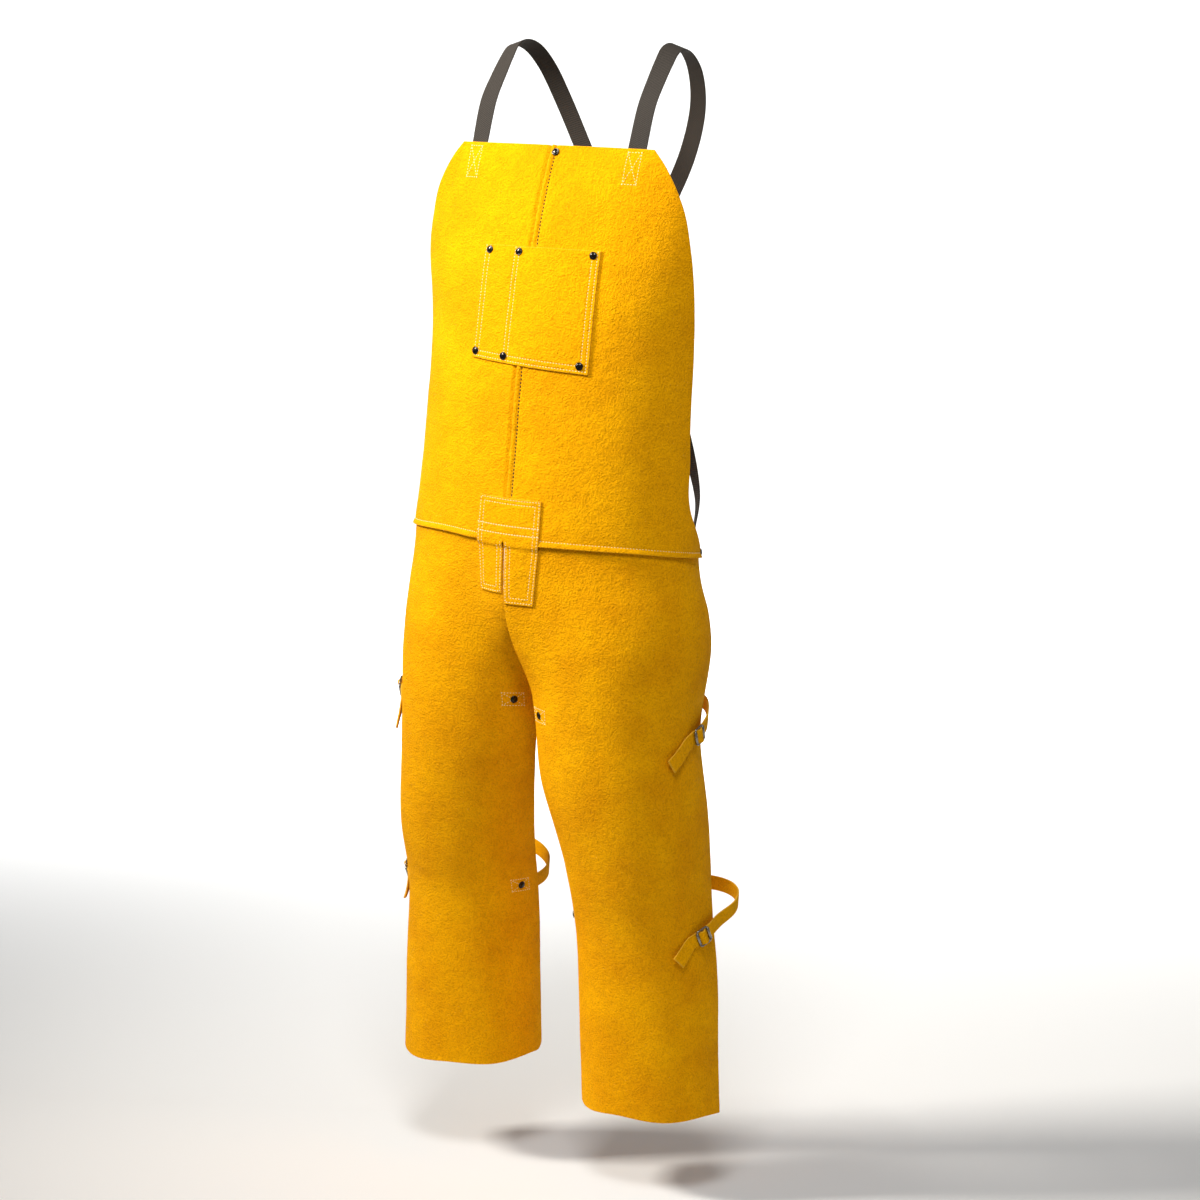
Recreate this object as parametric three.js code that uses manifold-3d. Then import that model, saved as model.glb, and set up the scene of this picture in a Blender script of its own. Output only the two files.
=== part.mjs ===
// Split leg welding bib apron in its worn form.
// Millimetres, +Z up, the front faces -Y, +X is the apron's own left side as worn.
// The origin is midway between the tops of the two shoulder straps.
import * as THREE from "three";
import { mergeVertices } from "three/addons/utils/BufferGeometryUtils.js";
import Module from "manifold-3d";

const wasm = await Module();
wasm.setup();

// Leather and webbing
const HIDE = 1.8; // split leather of the bib, the legs, the pocket and the patch
const STRAP_HIDE = 2.2; // leather of the leg straps
const WEB = 1.6; // shoulder webbing
const WEB_WIDTH = 25;
const STRAP_WIDTH = 19;
const PLY_GAP = 0.6; // air between two layers that lie on each other
const SEAM_GAP = 0.8; // air between two edges that meet

// Whole apron
const BIB_DROP = 129; // strap tops down to the bib's top edge
const BIB_LENGTH = 497; // bib's top edge down to the waist seam
const LEG_LENGTH = 727; // waist seam down to the hem
const PANEL_WIDTH = 305; // flat width of one leg panel, which is half the waist
const BIB_HALF_WIDTH = PANEL_WIDTH; // the bib's hem runs along the leg panels' tops
const HEM_LAP = 14; // how far the bib's hem lies over the leg panels
const HEM_BELOW = 3; // how far the hem's edge hangs below the waist line

// Worn form
const WAIST_BREADTH = 191; // half the breadth of the waist
const WAIST_DEPTH = 124; // half its depth
const WAIST_FRONT = -181; // the waist's foremost line
const CHEST_LEAN = 88; // how far the bib's top edge lies behind the waist's foremost line
const WAIST_FALL = 10; // how far the waist line falls towards its left end
const LEG_RADIUS = 110; // leg panel round the thigh
const STANCE = 135; // middle of a leg at the hem, out from the middle
const LEG_SWING = 70; // how far the legs run back from the thigh to the hem
const LEG_FRONT = -55; // middle of the thigh, front to back
const HEM_DROP = 17; // the left hem hangs this much below the mean, the right one above
const HEM_TILT = { left: 0, right: 9 }; // a hem's fall from its inner edge to its outer one

// Bib sections upwards from the waist seam. back is a share of CHEST_LEAN, breadth and depth are shares of
// the waist's, width is a share of BIB_HALF_WIDTH.
const BIB_SECTIONS = [
  { level: 0, back: 0, breadth: 1.03, depth: 1, width: 1 },
  { level: 0.03, back: 0.01, breadth: 1.025, depth: 1, width: 0.93 },
  { level: 0.08, back: 0.03, breadth: 1.015, depth: 1, width: 0.845 },
  { level: 0.24, back: 0.11, breadth: 1, depth: 1, width: 0.785 },
  { level: 0.51, back: 0.26, breadth: 1, depth: 0.97, width: 0.75 },
  { level: 0.75, back: 0.51, breadth: 1.07, depth: 0.82, width: 0.675 },
  { level: 0.86, back: 0.69, breadth: 1.07, depth: 0.65, width: 0.615 },
  { level: 0.93, back: 0.83, breadth: 1.07, depth: 0.515, width: 0.552 },
  { level: 0.965, back: 0.91, breadth: 1.07, depth: 0.445, width: 0.512 },
  { level: 1, back: 1, breadth: 1.07, depth: 0.36, width: 0.46 },
];

// Height of the waist line. level runs round it from the right end to the left one as a share of
// PANEL_WIDTH, rise is a share of WAIST_FALL.
const WAIST_LINE = [
  { level: -1, rise: 0.4 },
  { level: -0.65, rise: 0.7 },
  { level: -0.33, rise: 1.1 },
  { level: 0, rise: 0.6 },
  { level: 0.35, rise: 0.4 },
  { level: 0.55, rise: 0.15 },
  { level: 0.8, rise: -0.6 },
  { level: 1, rise: -1.3 },
];

// Leg panel sections downwards from the waist seam. out is a share of STANCE, back of LEG_SWING, radius of
// LEG_RADIUS, and turn is the way the panel's middle line faces, in degrees out from the front.
const LEG_SECTIONS = {
  left: [
    { level: 0.3, out: 0.75, back: 0, radius: 1, turn: 34 },
    { level: 0.42, out: 0.81, back: 0.05, radius: 0.955, turn: 28 },
    { level: 0.57, out: 0.945, back: 0.33, radius: 0.865, turn: 15 },
    { level: 0.68, out: 0.98, back: 0.7, radius: 0.88, turn: 5 },
    { level: 0.85, out: 0.99, back: 0.87, radius: 0.855, turn: 1 },
    { level: 1.02, out: 1.02, back: 1, radius: 0.85, turn: -1 },
  ],
  right: [
    { level: 0.3, out: 0.78, back: 0, radius: 0.98, turn: 8 },
    { level: 0.42, out: 0.83, back: 0.07, radius: 0.925, turn: 7 },
    { level: 0.57, out: 0.945, back: 0.33, radius: 0.865, turn: 2 },
    { level: 0.68, out: 1.005, back: 0.68, radius: 0.845, turn: -1 },
    { level: 0.85, out: 1.045, back: 0.87, radius: 0.84, turn: -5 },
    { level: 1.02, out: 1.06, back: 1, radius: 0.855, turn: -10 },
  ],
};

// Beside the patch's tabs the panels hang straight down from the seam. They leave that plane from HANG_START
// on and are off it at HANG_END, both levels as in LEG_SECTIONS, and only within about HANG_WIDTH of the
// inner edges.
const HANG_START = 0.08;
const HANG_END = 0.27;
const HANG_WIDTH = 60;

// Swells and dents of the leg panels. level is measured down from the waist as a share of LEG_LENGTH, across
// from the inner edge as a share of PANEL_WIDTH, tall and wide are their reaches as the same shares, rise is
// a share of FOLD.
const FOLD = 10;
const FOLDS = {
  left: [
    { level: 0.15, across: 0.85, tall: 0.1, wide: 0.4, rise: 1.4 },
    { level: 0.31, across: 1, tall: 0.09, wide: 0.3, rise: -0.6 },
    { level: 0.45, across: 0.95, tall: 0.09, wide: 0.3, rise: 0.4 },
    { level: 0.67, across: 1, tall: 0.09, wide: 0.3, rise: -0.6 },
    { level: 0.9, across: 0.8, tall: 0.12, wide: 0.12, rise: 0.3 },
  ],
  right: [
    { level: 0.15, across: 0.85, tall: 0.1, wide: 0.4, rise: 0.3 },
    { level: 0.31, across: 1, tall: 0.09, wide: 0.3, rise: -0.5 },
    { level: 0.67, across: 1, tall: 0.09, wide: 0.3, rise: -0.6 },
    { level: 0.9, across: 0.15, tall: 0.1, wide: 0.15, rise: 0.3 },
  ],
};

// Chest pocket, measured along the bib
const POCKET_WIDTH = 166;
const POCKET_HEIGHT = 154;
const POCKET_SKEW = 11; // its foot rises this much towards the right
const POCKET_SHIFT = 12; // its middle lies this far to the left of the seam
const POCKET_TOP = 127; // below the bib's top edge
// Its rivets, as shares of its width from the right and of its height from the foot.
const POCKET_RIVETS = [
  { across: 0.06, up: 0.955 },
  { across: 0.335, up: 0.955 },
  { across: 0.945, up: 0.96 },
  { across: 0.03, up: 0.06 },
  { across: 0.3, up: 0.06 },
  { across: 0.93, up: 0.065 },
];

// Crotch patch: a square top with two tabs, measured out from the middle line
const PATCH_LEFT = 49;
const PATCH_RIGHT = 39;
const PATCH_ABOVE = 54;
const TAB_LEFT = 77; // length of the left tab below the waist
const TAB_RIGHT = 68;
const TAB_TAPER = 0.8; // width of the left tab's foot as a share of its top
const SLIT = 3.5;

// Centre seam of the bib
const SEAM_LAP = 15; // the right half runs this far under the left one

// Shoulder straps
const STRAP_SPREAD = 116; // half the distance between the two straps on the shoulders
const STRAP_TUCK = 42; // sewn length behind the bib
const BACK_DEPTH = 118; // how far behind the origin the straps lie at the back
const CROSS_LIFT = WEB + 1.8; // the left strap's rise over the right one where they cross
const WAIST_RIVET_IN = 10; // the waist rivet's distance in from the end of the waist seam
const WAIST_RIVET_UP = 4; // and above the waist line

// Leg straps and buckles
const STRAP_END = 14; // strap beyond its rivet under the panel
const RIVET_IN = 30; // inner rivet's distance in from the panel's inner edge
const BUCKLE_IN = { left: 38, right: 24 }; // middle of a buckle in from the panel's outer edge
const BUCKLE_AIR = 3.4; // rise of the strap's middle at the buckle off a strap that lies on the panel
const BUCKLE_TURN = 10; // degrees that the buckle turns away from the panel
const LATE = 1.5; // a leg strap's rise and bulge behind the leg come late, towards its outer side
const CALF_RISE = 24; // how far a leg strap stands out behind the leg beyond the panel's own radius
const THIGH_GAP = 9; // a leg strap's least distance from the middle between the legs
const TAIL = 52; // free end of a leg strap beyond the buckle
const TAIL_HANG = { left: 0, right: 28 }; // degrees added to the droop of its free end
const TAIL_TURN = 14; // length over which the free end turns down
const TAIL_RISE = 5; // how far its tip stands off the panel
const BUCKLE_WIRE = 2.4;
const BUCKLE_HEIGHT = STRAP_WIDTH + 2 * BUCKLE_WIRE + 1.2;
const BAR_SPACING = 8.5; // from the middle bar to each side bar
const WEAVE = (STRAP_HIDE + BUCKLE_WIRE) / 2 + 1; // rise of the strap over the middle bar

// rivet and buckle are a leg strap's heights as shares of LEG_LENGTH below the waist, in is a share of
// RIVET_IN, slope and droop its fall in degrees at the buckle and along the free end, tail a share of TAIL,
// arch its rise behind the leg as a share of STRAP_WIDTH and calf a share of CALF_RISE.
const THIGH_IN = { left: 0.6, right: 1.2 };
const SHIN_IN = { left: 1.2, right: 1.2 };
const LEG_STRAPS = [
  { at: "thigh", rivet: 0.298, in: THIGH_IN, buckle: 0.311, slope: 24, droop: 38, tail: 1, arch: 0.6, calf: 0.3 },
  { at: "shin", rivet: 0.664, in: SHIN_IN, buckle: 0.668, slope: 22, droop: 48, tail: 0.73, arch: 1.2, calf: 1 },
];

// Rivets
const RIVET_HEAD = 10;
const RIVET_RISE = 2.4;
const RIVET_SHANK = 3;
const RIVET_SIDES = 8;
const HOLE_CLEAR = 0.4;
const SEAT = 0.5; // rivet head's air over the leather
const BIB_RIVET_DOWN = 9; // the seam's rivet below the bib's top edge
// Head and cap, outwards from the middle: out is a share of half the head, up a share of its rise.
const RIVET_TOP = [
  { out: 0, up: 1 },
  { out: 0.55, up: 0.8 },
  { out: 0.88, up: 0.4 },
  { out: 1, up: 0 },
];
const RIVET_CAP = [
  { out: 0.8, up: 0 },
  { out: 0.7, up: -0.4 },
  { out: 0, up: -0.4 },
];

const WAIST_Z = -BIB_DROP - BIB_LENGTH;
const PLY = HIDE + PLY_GAP; // rise from one layer to the next
const BIB_LIFT = PLY;
const UNDER = -(HIDE / 2 + PLY_GAP + WEB / 2 + SEAT); // webbing's middle, under a layer of leather
const WAIST_UNDER = UNDER - PLY_GAP; // the same round the tight side of the waist
const STRAP_OUT = HIDE / 2 + PLY_GAP + STRAP_HIDE / 2; // leg strap's middle, on a leg panel
const STRAP_IN = -STRAP_OUT - PLY_GAP; // and under it, clear of the panel's hollow side
const BUCKLE_STAND = STRAP_OUT + BUCKLE_AIR;
const SIDES = { left: 1, right: -1 };
const OTHER = { left: "right", right: "left" };

const { clamp, degToRad, lerp, smoothstep } = THREE.MathUtils;
const vector = (x, y, z) => new THREE.Vector3(x, y, z);

// A smooth curve through one column of a table of sections.
function column(rows, name) {
  const rise = (i) => (rows[i + 1][name] - rows[i][name]) / (rows[i + 1].level - rows[i].level);
  const slope = (i) => {
    if (i === 0) return rise(0);
    if (i === rows.length - 1) return rise(i - 1);
    const part = (rows[i].level - rows[i - 1].level) / (rows[i + 1].level - rows[i - 1].level);
    return lerp(rise(i - 1), rise(i), part);
  };
  return (asked) => {
    const last = rows.length - 1;
    const level = clamp(asked, rows[0].level, rows[last].level);
    const beyond = (asked - level) * slope(asked > level ? last : 0);
    let i = 0;
    while (i < last - 1 && level > rows[i + 1].level) i += 1;
    const a = rows[i];
    const span = rows[i + 1].level - a.level;
    const t = (level - a.level) / span;
    const bend = (p, q) => (2 * t ** 3 - 3 * t ** 2 + 1) * p + (3 * t ** 2 - 2 * t ** 3) * q;
    const lean = (p, q) => (t ** 3 - 2 * t ** 2 + t) * p + (t ** 3 - t ** 2) * q;
    return bend(a[name], rows[i + 1][name]) + span * lean(slope(i), slope(i + 1)) + beyond;
  };
}

const bib = {};
for (const name of ["back", "breadth", "depth", "width"]) bib[name] = column(BIB_SECTIONS, name);

// The torso's section at a level above the waist, by the length round it from the middle line.
const ARC_STEPS = 60;
const ARC_TURN = degToRad(170);
function torso(level) {
  const breadth = WAIST_BREADTH * bib.breadth(level);
  const depth = WAIST_DEPTH * bib.depth(level);
  const front = WAIST_FRONT + CHEST_LEAN * bib.back(level);
  const at = (turn) => [breadth * Math.sin(turn), front + depth * (1 - Math.cos(turn))];
  const lengths = [0];
  for (let i = 1; i <= ARC_STEPS; i += 1) {
    const [x0, y0] = at((ARC_TURN * (i - 1)) / ARC_STEPS);
    const [x1, y1] = at((ARC_TURN * i) / ARC_STEPS);
    lengths.push(lengths[i - 1] + Math.hypot(x1 - x0, y1 - y0));
  }
  return (arc) => {
    let i = 0;
    while (i < ARC_STEPS - 1 && lengths[i + 1] < Math.abs(arc)) i += 1;
    const part = (Math.abs(arc) - lengths[i]) / (lengths[i + 1] - lengths[i]);
    const [x, y] = at((ARC_TURN * (i + part)) / ARC_STEPS);
    return [arc < 0 ? -x : x, y];
  };
}
const torsoCache = new Map();
function torsoAt(level) {
  if (!torsoCache.has(level)) torsoCache.set(level, torso(level));
  return torsoCache.get(level);
}

// A point of the worn form above the waist: arc from the middle line, height above the waist line.
const waistLine = column(WAIST_LINE, "rise");
function waistRise(side, arc, level) {
  return WAIST_FALL * waistLine((side * arc) / PANEL_WIDTH) * (1 - clamp(level, 0, 1)) ** 2;
}

function torsoPoint(side, arc, above) {
  const level = above / BIB_LENGTH;
  const [x, y] = torsoAt(level)(arc);
  return vector(side * x, y, WAIST_Z + above + waistRise(side, arc, level));
}

// A point of the worn form below the waist: a smooth curve down through the leg's sections.
function legCurve(name, arc) {
  const side = SIDES[name];
  const [x, y] = torsoAt(0)(arc);
  const knots = [{ level: 0, x, y }];
  for (const row of LEG_SECTIONS[name]) {
    const radius = LEG_RADIUS * row.radius;
    const angle = degToRad(row.turn) + (arc - PANEL_WIDTH / 2) / radius;
    knots.push({
      level: row.level,
      x: STANCE * row.out + radius * Math.sin(angle),
      y: LEG_FRONT + LEG_SWING * row.back - radius * Math.cos(angle),
    });
  }
  const sideways = column(knots, "x");
  const forwards = column(knots, "y");
  const near = Math.exp(-((arc / HANG_WIDTH) ** 2));
  return (below) => {
    const level = below / LEG_LENGTH;
    const z = WAIST_Z - below + waistRise(side, arc, level) - side * HEM_DROP * level;
    const hang = near * (1 - smoothstep(level, HANG_START, HANG_END));
    return vector(side * lerp(sideways(level), x, hang), lerp(forwards(level), y, hang), z);
  };
}
const legCache = new Map();
function legPoint(name, arc, below) {
  const key = name + arc;
  if (!legCache.has(key)) legCache.set(key, legCurve(name, arc));
  return legCache.get(key)(below);
}

// The worn form's own surface, by the length round it and the height above the waist line (negative below).
function formPoint(name, arc, above) {
  return above >= 0 ? torsoPoint(SIDES[name], arc, above) : legPoint(name, arc, -above);
}

// How far the folds raise the form there.
function foldRise(name, arc, above) {
  let rise = 0;
  for (const fold of FOLDS[name]) {
    const down = (-above / LEG_LENGTH - fold.level) / fold.tall;
    const round = (arc / PANEL_WIDTH - fold.across) / fold.wide;
    rise += FOLD * fold.rise * Math.exp(-(down ** 2) - round ** 2);
  }
  return rise * smoothstep(-above, 0, LEG_LENGTH / 10);
}

// The place of a layer that lies a given lift outside that surface.
const FEEL = 2;
function place(name, arc, above, lift) {
  const across = formPoint(name, arc + FEEL, above).sub(formPoint(name, arc - FEEL, above));
  const up = formPoint(name, arc, above + FEEL).sub(formPoint(name, arc, above - FEEL));
  const normal = across.clone().multiplyScalar(SIDES[name]).cross(up).normalize();
  const point = formPoint(name, arc, above).addScaledVector(normal, foldRise(name, arc, above));
  const leanAcross = foldRise(name, arc + FEEL, above) - foldRise(name, arc - FEEL, above);
  const leanUp = foldRise(name, arc, above + FEEL) - foldRise(name, arc, above - FEEL);
  normal.addScaledVector(across, -leanAcross / across.lengthSq());
  normal.addScaledVector(up, -leanUp / up.lengthSq());
  normal.normalize();
  return { point: point.addScaledVector(normal, lift), normal };
}

// A triangle soup, filled one four-sided face at a time.
function soup() {
  const flat = [];
  const face = (a, b, c, d) => {
    for (const p of [a, b, c, a, c, d]) flat.push(p.x, p.y, p.z);
  };
  const geometry = () => {
    const made = new THREE.BufferGeometry();
    return made.setAttribute("position", new THREE.Float32BufferAttribute(flat, 3));
  };
  return { face, geometry };
}

// A closed solid from a three.js geometry, turned to face outwards.
function solidOf(geometry) {
  const bare = geometry.index ? geometry.toNonIndexed() : geometry.clone();
  bare.deleteAttribute("normal");
  bare.deleteAttribute("uv");
  const merged = mergeVertices(bare, 1e-4);
  const vertProperties = merged.attributes.position.array;
  const triVerts = new Uint32Array(merged.index.array);
  const made = new wasm.Manifold(new wasm.Mesh({ numProp: 3, vertProperties, triVerts }));
  if (made.volume() > 0) return made;
  return new wasm.Manifold(new wasm.Mesh({ numProp: 3, vertProperties, triVerts: triVerts.reverse() }));
}

// Even steps from one value to another, both ends included.
const steps = (from, to, count) => Array.from({ length: count + 1 }, (_, i) => lerp(from, to, i / count));

// A sheet of leather: a grid of places, one for each pair of values, thickened to both sides. covers tells
// which of the grid's cells, by their lower inner corner, are leather.
function sheet(across, up, placeAt, covers = () => true) {
  const [outer, inner] = [HIDE / 2, -HIDE / 2].map((lift) =>
    across.map((a) =>
      up.map((b) => {
        const { point, normal } = placeAt(a, b);
        return point.clone().addScaledVector(normal, lift);
      }),
    ),
  );
  const inside = (i, j) => i >= 0 && j >= 0 && i + 1 < across.length && j + 1 < up.length;
  const covered = (i, j) => inside(i, j) && covers(across[i], up[j]);
  const { face, geometry } = soup();
  for (let i = 0; i + 1 < across.length; i += 1) {
    for (let j = 0; j + 1 < up.length; j += 1) {
      if (!covered(i, j)) continue;
      face(outer[i][j], outer[i + 1][j], outer[i + 1][j + 1], outer[i][j + 1]);
      face(inner[i][j], inner[i][j + 1], inner[i + 1][j + 1], inner[i + 1][j]);
      const wall = (i0, j0, i1, j1) => {
        face(outer[i1][j1], outer[i0][j0], inner[i0][j0], inner[i1][j1]);
      };
      if (!covered(i, j - 1)) wall(i, j, i + 1, j);
      if (!covered(i, j + 1)) wall(i + 1, j + 1, i, j + 1);
      if (!covered(i - 1, j)) wall(i, j + 1, i, j);
      if (!covered(i + 1, j)) wall(i + 1, j, i + 1, j + 1);
    }
  }
  return solidOf(geometry());
}

// A flat strap along stations, each with its middle point and its outward direction.
function ribbon(stations, width, thickness) {
  const rings = stations.map(({ point, normal }, i) => {
    const before = stations[Math.max(i - 1, 0)].point;
    const after = stations[Math.min(i + 1, stations.length - 1)].point;
    const along = after.clone().sub(before).normalize();
    const across = along.clone().cross(normal).normalize();
    const out = across.clone().cross(along).normalize();
    const corner = (a, b) =>
      point.clone().addScaledVector(across, (a * width) / 2).addScaledVector(out, (b * thickness) / 2);
    return [corner(-1, -1), corner(1, -1), corner(1, 1), corner(-1, 1)];
  });
  const { face, geometry } = soup();
  for (let i = 0; i + 1 < rings.length; i += 1) {
    for (let j = 0; j < 4; j += 1) {
      const k = (j + 1) % 4;
      face(rings[i][j], rings[i + 1][j], rings[i + 1][k], rings[i][k]);
    }
  }
  face(...rings[0]);
  face(...rings[rings.length - 1].reverse());
  return solidOf(geometry());
}

// Sets a geometry whose Y axis is its own axis on a point, along a direction.
function setAlong(geometry, point, direction) {
  const turn = new THREE.Quaternion().setFromUnitVectors(vector(0, 1, 0), direction);
  return geometry.applyQuaternion(turn).translate(point.x, point.y, point.z);
}

// Rivets, each through its own layers: from the inner face to the outer face of the stack it holds.
const rivets = [];
function addRivet(name, { point, normal }, inner, outer) {
  rivets.push({ name, point, normal, inner: inner - SEAT, outer: outer + SEAT });
}

function rivetSolid({ point, normal, inner, outer }) {
  const shank = RIVET_SHANK / 2;
  const ring = (base) => (row) => [(row.out * RIVET_HEAD) / 2, base + row.up * RIVET_RISE];
  const waist = [[shank, outer], [shank, inner]];
  const profile = [...RIVET_TOP.map(ring(outer)), ...waist, ...RIVET_CAP.map(ring(inner))];
  const lathe = new THREE.LatheGeometry(profile.map(([r, y]) => new THREE.Vector2(r, y)), RIVET_SIDES);
  return solidOf(setAlong(lathe, point, normal));
}

// The holes that the rivets leave in whatever they pass through.
function drill(solid, names) {
  let cut = solid;
  for (const { name, point, normal, inner, outer } of rivets) {
    if (!names.some((start) => name.startsWith(start))) continue;
    const radius = RIVET_SHANK / 2 + HOLE_CLEAR;
    const reach = 2 * (outer - inner);
    const hole = setAlong(new THREE.CylinderGeometry(radius, radius, reach, 8), point, normal);
    cut = cut.subtract(solidOf(hole));
  }
  return cut;
}

// Bib halves. Their facets meet those of the leg panels where the hem laps.
const PANEL_COLUMNS = 14;
const BIB_ROWS = 9;
const PANEL_SHARES = steps(0, 1, PANEL_COLUMNS);
const LAP_HEIGHTS = [-HEM_BELOW, 0, HEM_LAP];
const CORNER_LEVEL = 0.8; // above this level the bib has a row at each of its sections
const CORNER = BIB_SECTIONS.filter((row) => row.level > CORNER_LEVEL).map((row) => row.level * BIB_LENGTH);
const BIB_HEIGHTS = [...LAP_HEIGHTS, ...steps(PATCH_ABOVE, CORNER[0], BIB_ROWS), ...CORNER.slice(1)];
function panelArc(share, above) {
  const width = above > 0 ? BIB_HALF_WIDTH * bib.width(above / BIB_LENGTH) : PANEL_WIDTH;
  return lerp(SEAM_GAP / 2, width, share);
}

function bibLeft() {
  const placeAt = (share, above) => place("left", panelArc(share, above), above, BIB_LIFT);
  return sheet(PANEL_SHARES, BIB_HEIGHTS, placeAt);
}

// Above the crotch patch the right half dips along the seam and runs on under the left one.
const RAMP_SHARE = 0.03;
function bibRight() {
  const shares = [-1, -0.5, 0, RAMP_SHARE, ...PANEL_SHARES.slice(1)];
  const placeAt = (share, above) => {
    const arc = share < 0 ? share * SEAM_LAP : panelArc(share, above);
    const dip = share > 0 || above < PATCH_ABOVE ? 0 : PLY;
    return place("right", arc, above, BIB_LIFT - dip);
  };
  return sheet(shares, BIB_HEIGHTS, placeAt, (share, above) => share >= 0 || above >= PATCH_ABOVE);
}

// Chest pocket, one layer out from the bib.
function pocketPlace(across, up) {
  const skew = POCKET_SKEW * (1 - across / POCKET_WIDTH) * (1 - up / POCKET_HEIGHT);
  const above = BIB_LENGTH - POCKET_TOP - POCKET_HEIGHT + up + skew;
  return place("left", POCKET_SHIFT - POCKET_WIDTH / 2 + across, above, BIB_LIFT + PLY);
}

const POCKET_COLUMNS = 7;
const POCKET_ROWS = 4;
function pocket() {
  return sheet(steps(0, POCKET_WIDTH, POCKET_COLUMNS), steps(0, POCKET_HEIGHT, POCKET_ROWS), pocketPlace);
}

function addPocketRivets() {
  POCKET_RIVETS.forEach(({ across, up }, i) => {
    const seat = pocketPlace(POCKET_WIDTH * across, POCKET_HEIGHT * up);
    addRivet("rivet_pocket_" + (i + 1), seat, -PLY - HIDE / 2, HIDE / 2);
  });
}

// Crotch patch: on the bib above the waist, down on the leg panels below it.
const PATCH_STEP = HIDE + HEM_BELOW; // length over which the patch steps down off the bib's hem
const PATCH_COLUMNS = 3;
const TAB_ROWS = 4;
const PATCH_ROWS = 2;
function patchHalf(name, width, tab, taper) {
  const onBib = -HEM_BELOW - PLY;
  const onLeg = onBib - PATCH_STEP;
  const heights = [...steps(-tab, onLeg, TAB_ROWS), onBib, 0, ...steps(HEM_LAP, PATCH_ABOVE, PATCH_ROWS)];
  return sheet(steps(0, 1, PATCH_COLUMNS), heights, (share, above) => {
    const inner = above > 0 ? -SEAM_GAP : SLIT / 2;
    const outer = width * lerp(taper, 1, clamp(1 + above / tab, 0, 1));
    return place(name, lerp(inner, outer, share), above, PLY * (1 + smoothstep(above, onLeg, onBib)));
  });
}

function patch() {
  const left = patchHalf("left", PATCH_LEFT, TAB_LEFT, TAB_TAPER);
  return left.add(patchHalf("right", PATCH_RIGHT, TAB_RIGHT, 1));
}

// Leg panels
const LEG_ROWS = 22;
const HEM_CORNER = 16;
const HEM_WAVE = 2;
const HEM_WAVES = 2.5;
const HEM_RISE = 3; // the hem's own shape fades out upwards by this power
function legPanel(name) {
  const heights = [...steps(-LEG_LENGTH, -HEM_BELOW, LEG_ROWS).slice(0, -1), ...LAP_HEIGHTS];
  return sheet(PANEL_SHARES, heights, (share, height) => {
    const across = PANEL_WIDTH * share;
    const corner = HEM_CORNER * (1 - Math.sqrt(1 - clamp(1 - across / HEM_CORNER, 0, 1) ** 2));
    const wave = HEM_WAVE * Math.sin(2 * Math.PI * HEM_WAVES * share);
    const tilt = HEM_TILT[name] * smoothstep(share, 0, 0.6);
    const above = height + (corner + wave - tilt) * clamp(-height / LEG_LENGTH, 0, 1) ** HEM_RISE;
    return place(name, panelArc(share, above), above, 0);
  });
}

// Shoulder strap route beyond the bib. out is a share of STRAP_SPREAD, pitch turns the outward face from the
// front (0) over the top (90) to the back (180), splay turns it to the strap's own side.
const STRAP_FRONT = [
  { out: 1, front: 0.7, drop: 0.58, pitch: 35, splay: 4 },
  { out: 1, front: 0.46, drop: 0.33, pitch: 45, splay: 8 },
  { out: 1, front: 0.26, drop: 0.15, pitch: 52, splay: 14 },
  { out: 1, front: 0.12, drop: 0.045, pitch: 68, splay: 18 },
];
const STRAP_TOP = { out: 1, deep: 0.05, fall: 0, pitch: 90, splay: 18 };
const STRAP_BACK = [
  { out: 0.98, deep: 0.28, fall: 0.008, pitch: 112, splay: 17 },
  { out: 0.95, deep: 0.56, fall: 0.045, pitch: 135, splay: 14 },
  { out: 0.86, deep: 0.82, fall: 0.12, pitch: 158, splay: 10 },
  { out: 0.66, deep: 0.97, fall: 0.22, pitch: 172, splay: 4 },
  { out: 0.34, deep: 1.03, fall: 0.34, pitch: 180, splay: 0 },
  { out: 0, deep: 1.02, fall: 0.47, pitch: 184, splay: 0 },
  { out: -0.4, deep: 0.92, fall: 0.62, pitch: 188, splay: -8 },
  { out: -0.85, deep: 0.72, fall: 0.76, pitch: 188, splay: -24 },
  { out: -1.3, deep: 0.36, fall: 0.9, pitch: 182, splay: -48 },
];
// Its end round the other side's waist rivet: round the waist and up from the rivet.
const STRAP_FOOT = [
  { round: 26, up: 18 },
  { round: 0, up: 0 },
  { round: -14, up: -9 },
];
// The left strap is raised over the right one between these falls.
const CROSSING = { from: 0.1, full: 0.3, fading: 0.6, to: 0.8 };
const WEB_STEP = 18;

// Even stations along smooth curves through places.
function stationsThrough(places, step) {
  const route = new THREE.CatmullRomCurve3(places.map((p) => p.point), false, "centripetal");
  const facing = new THREE.CatmullRomCurve3(places.map((p) => p.normal), false, "centripetal");
  const stations = [];
  for (let i = 0; i + 1 < places.length; i += 1) {
    const span = places[i].point.distanceTo(places[i + 1].point);
    const parts = Math.max(1, Math.round(span / step));
    for (let k = 0; k < parts; k += 1) {
      const t = (i + k / parts) / (places.length - 1);
      stations.push({ point: route.getPoint(t), normal: facing.getPoint(t).normalize() });
    }
  }
  stations.push(places[places.length - 1]);
  return stations;
}

function strapPlace(side, row, y, z) {
  const pitch = degToRad(row.pitch);
  const splay = degToRad(row.splay);
  const normal = vector(
    side * Math.sin(splay),
    -Math.cos(pitch) * Math.cos(splay),
    Math.sin(pitch) * Math.cos(splay),
  );
  return { point: vector(side * STRAP_SPREAD * row.out, y, z), normal };
}

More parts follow.
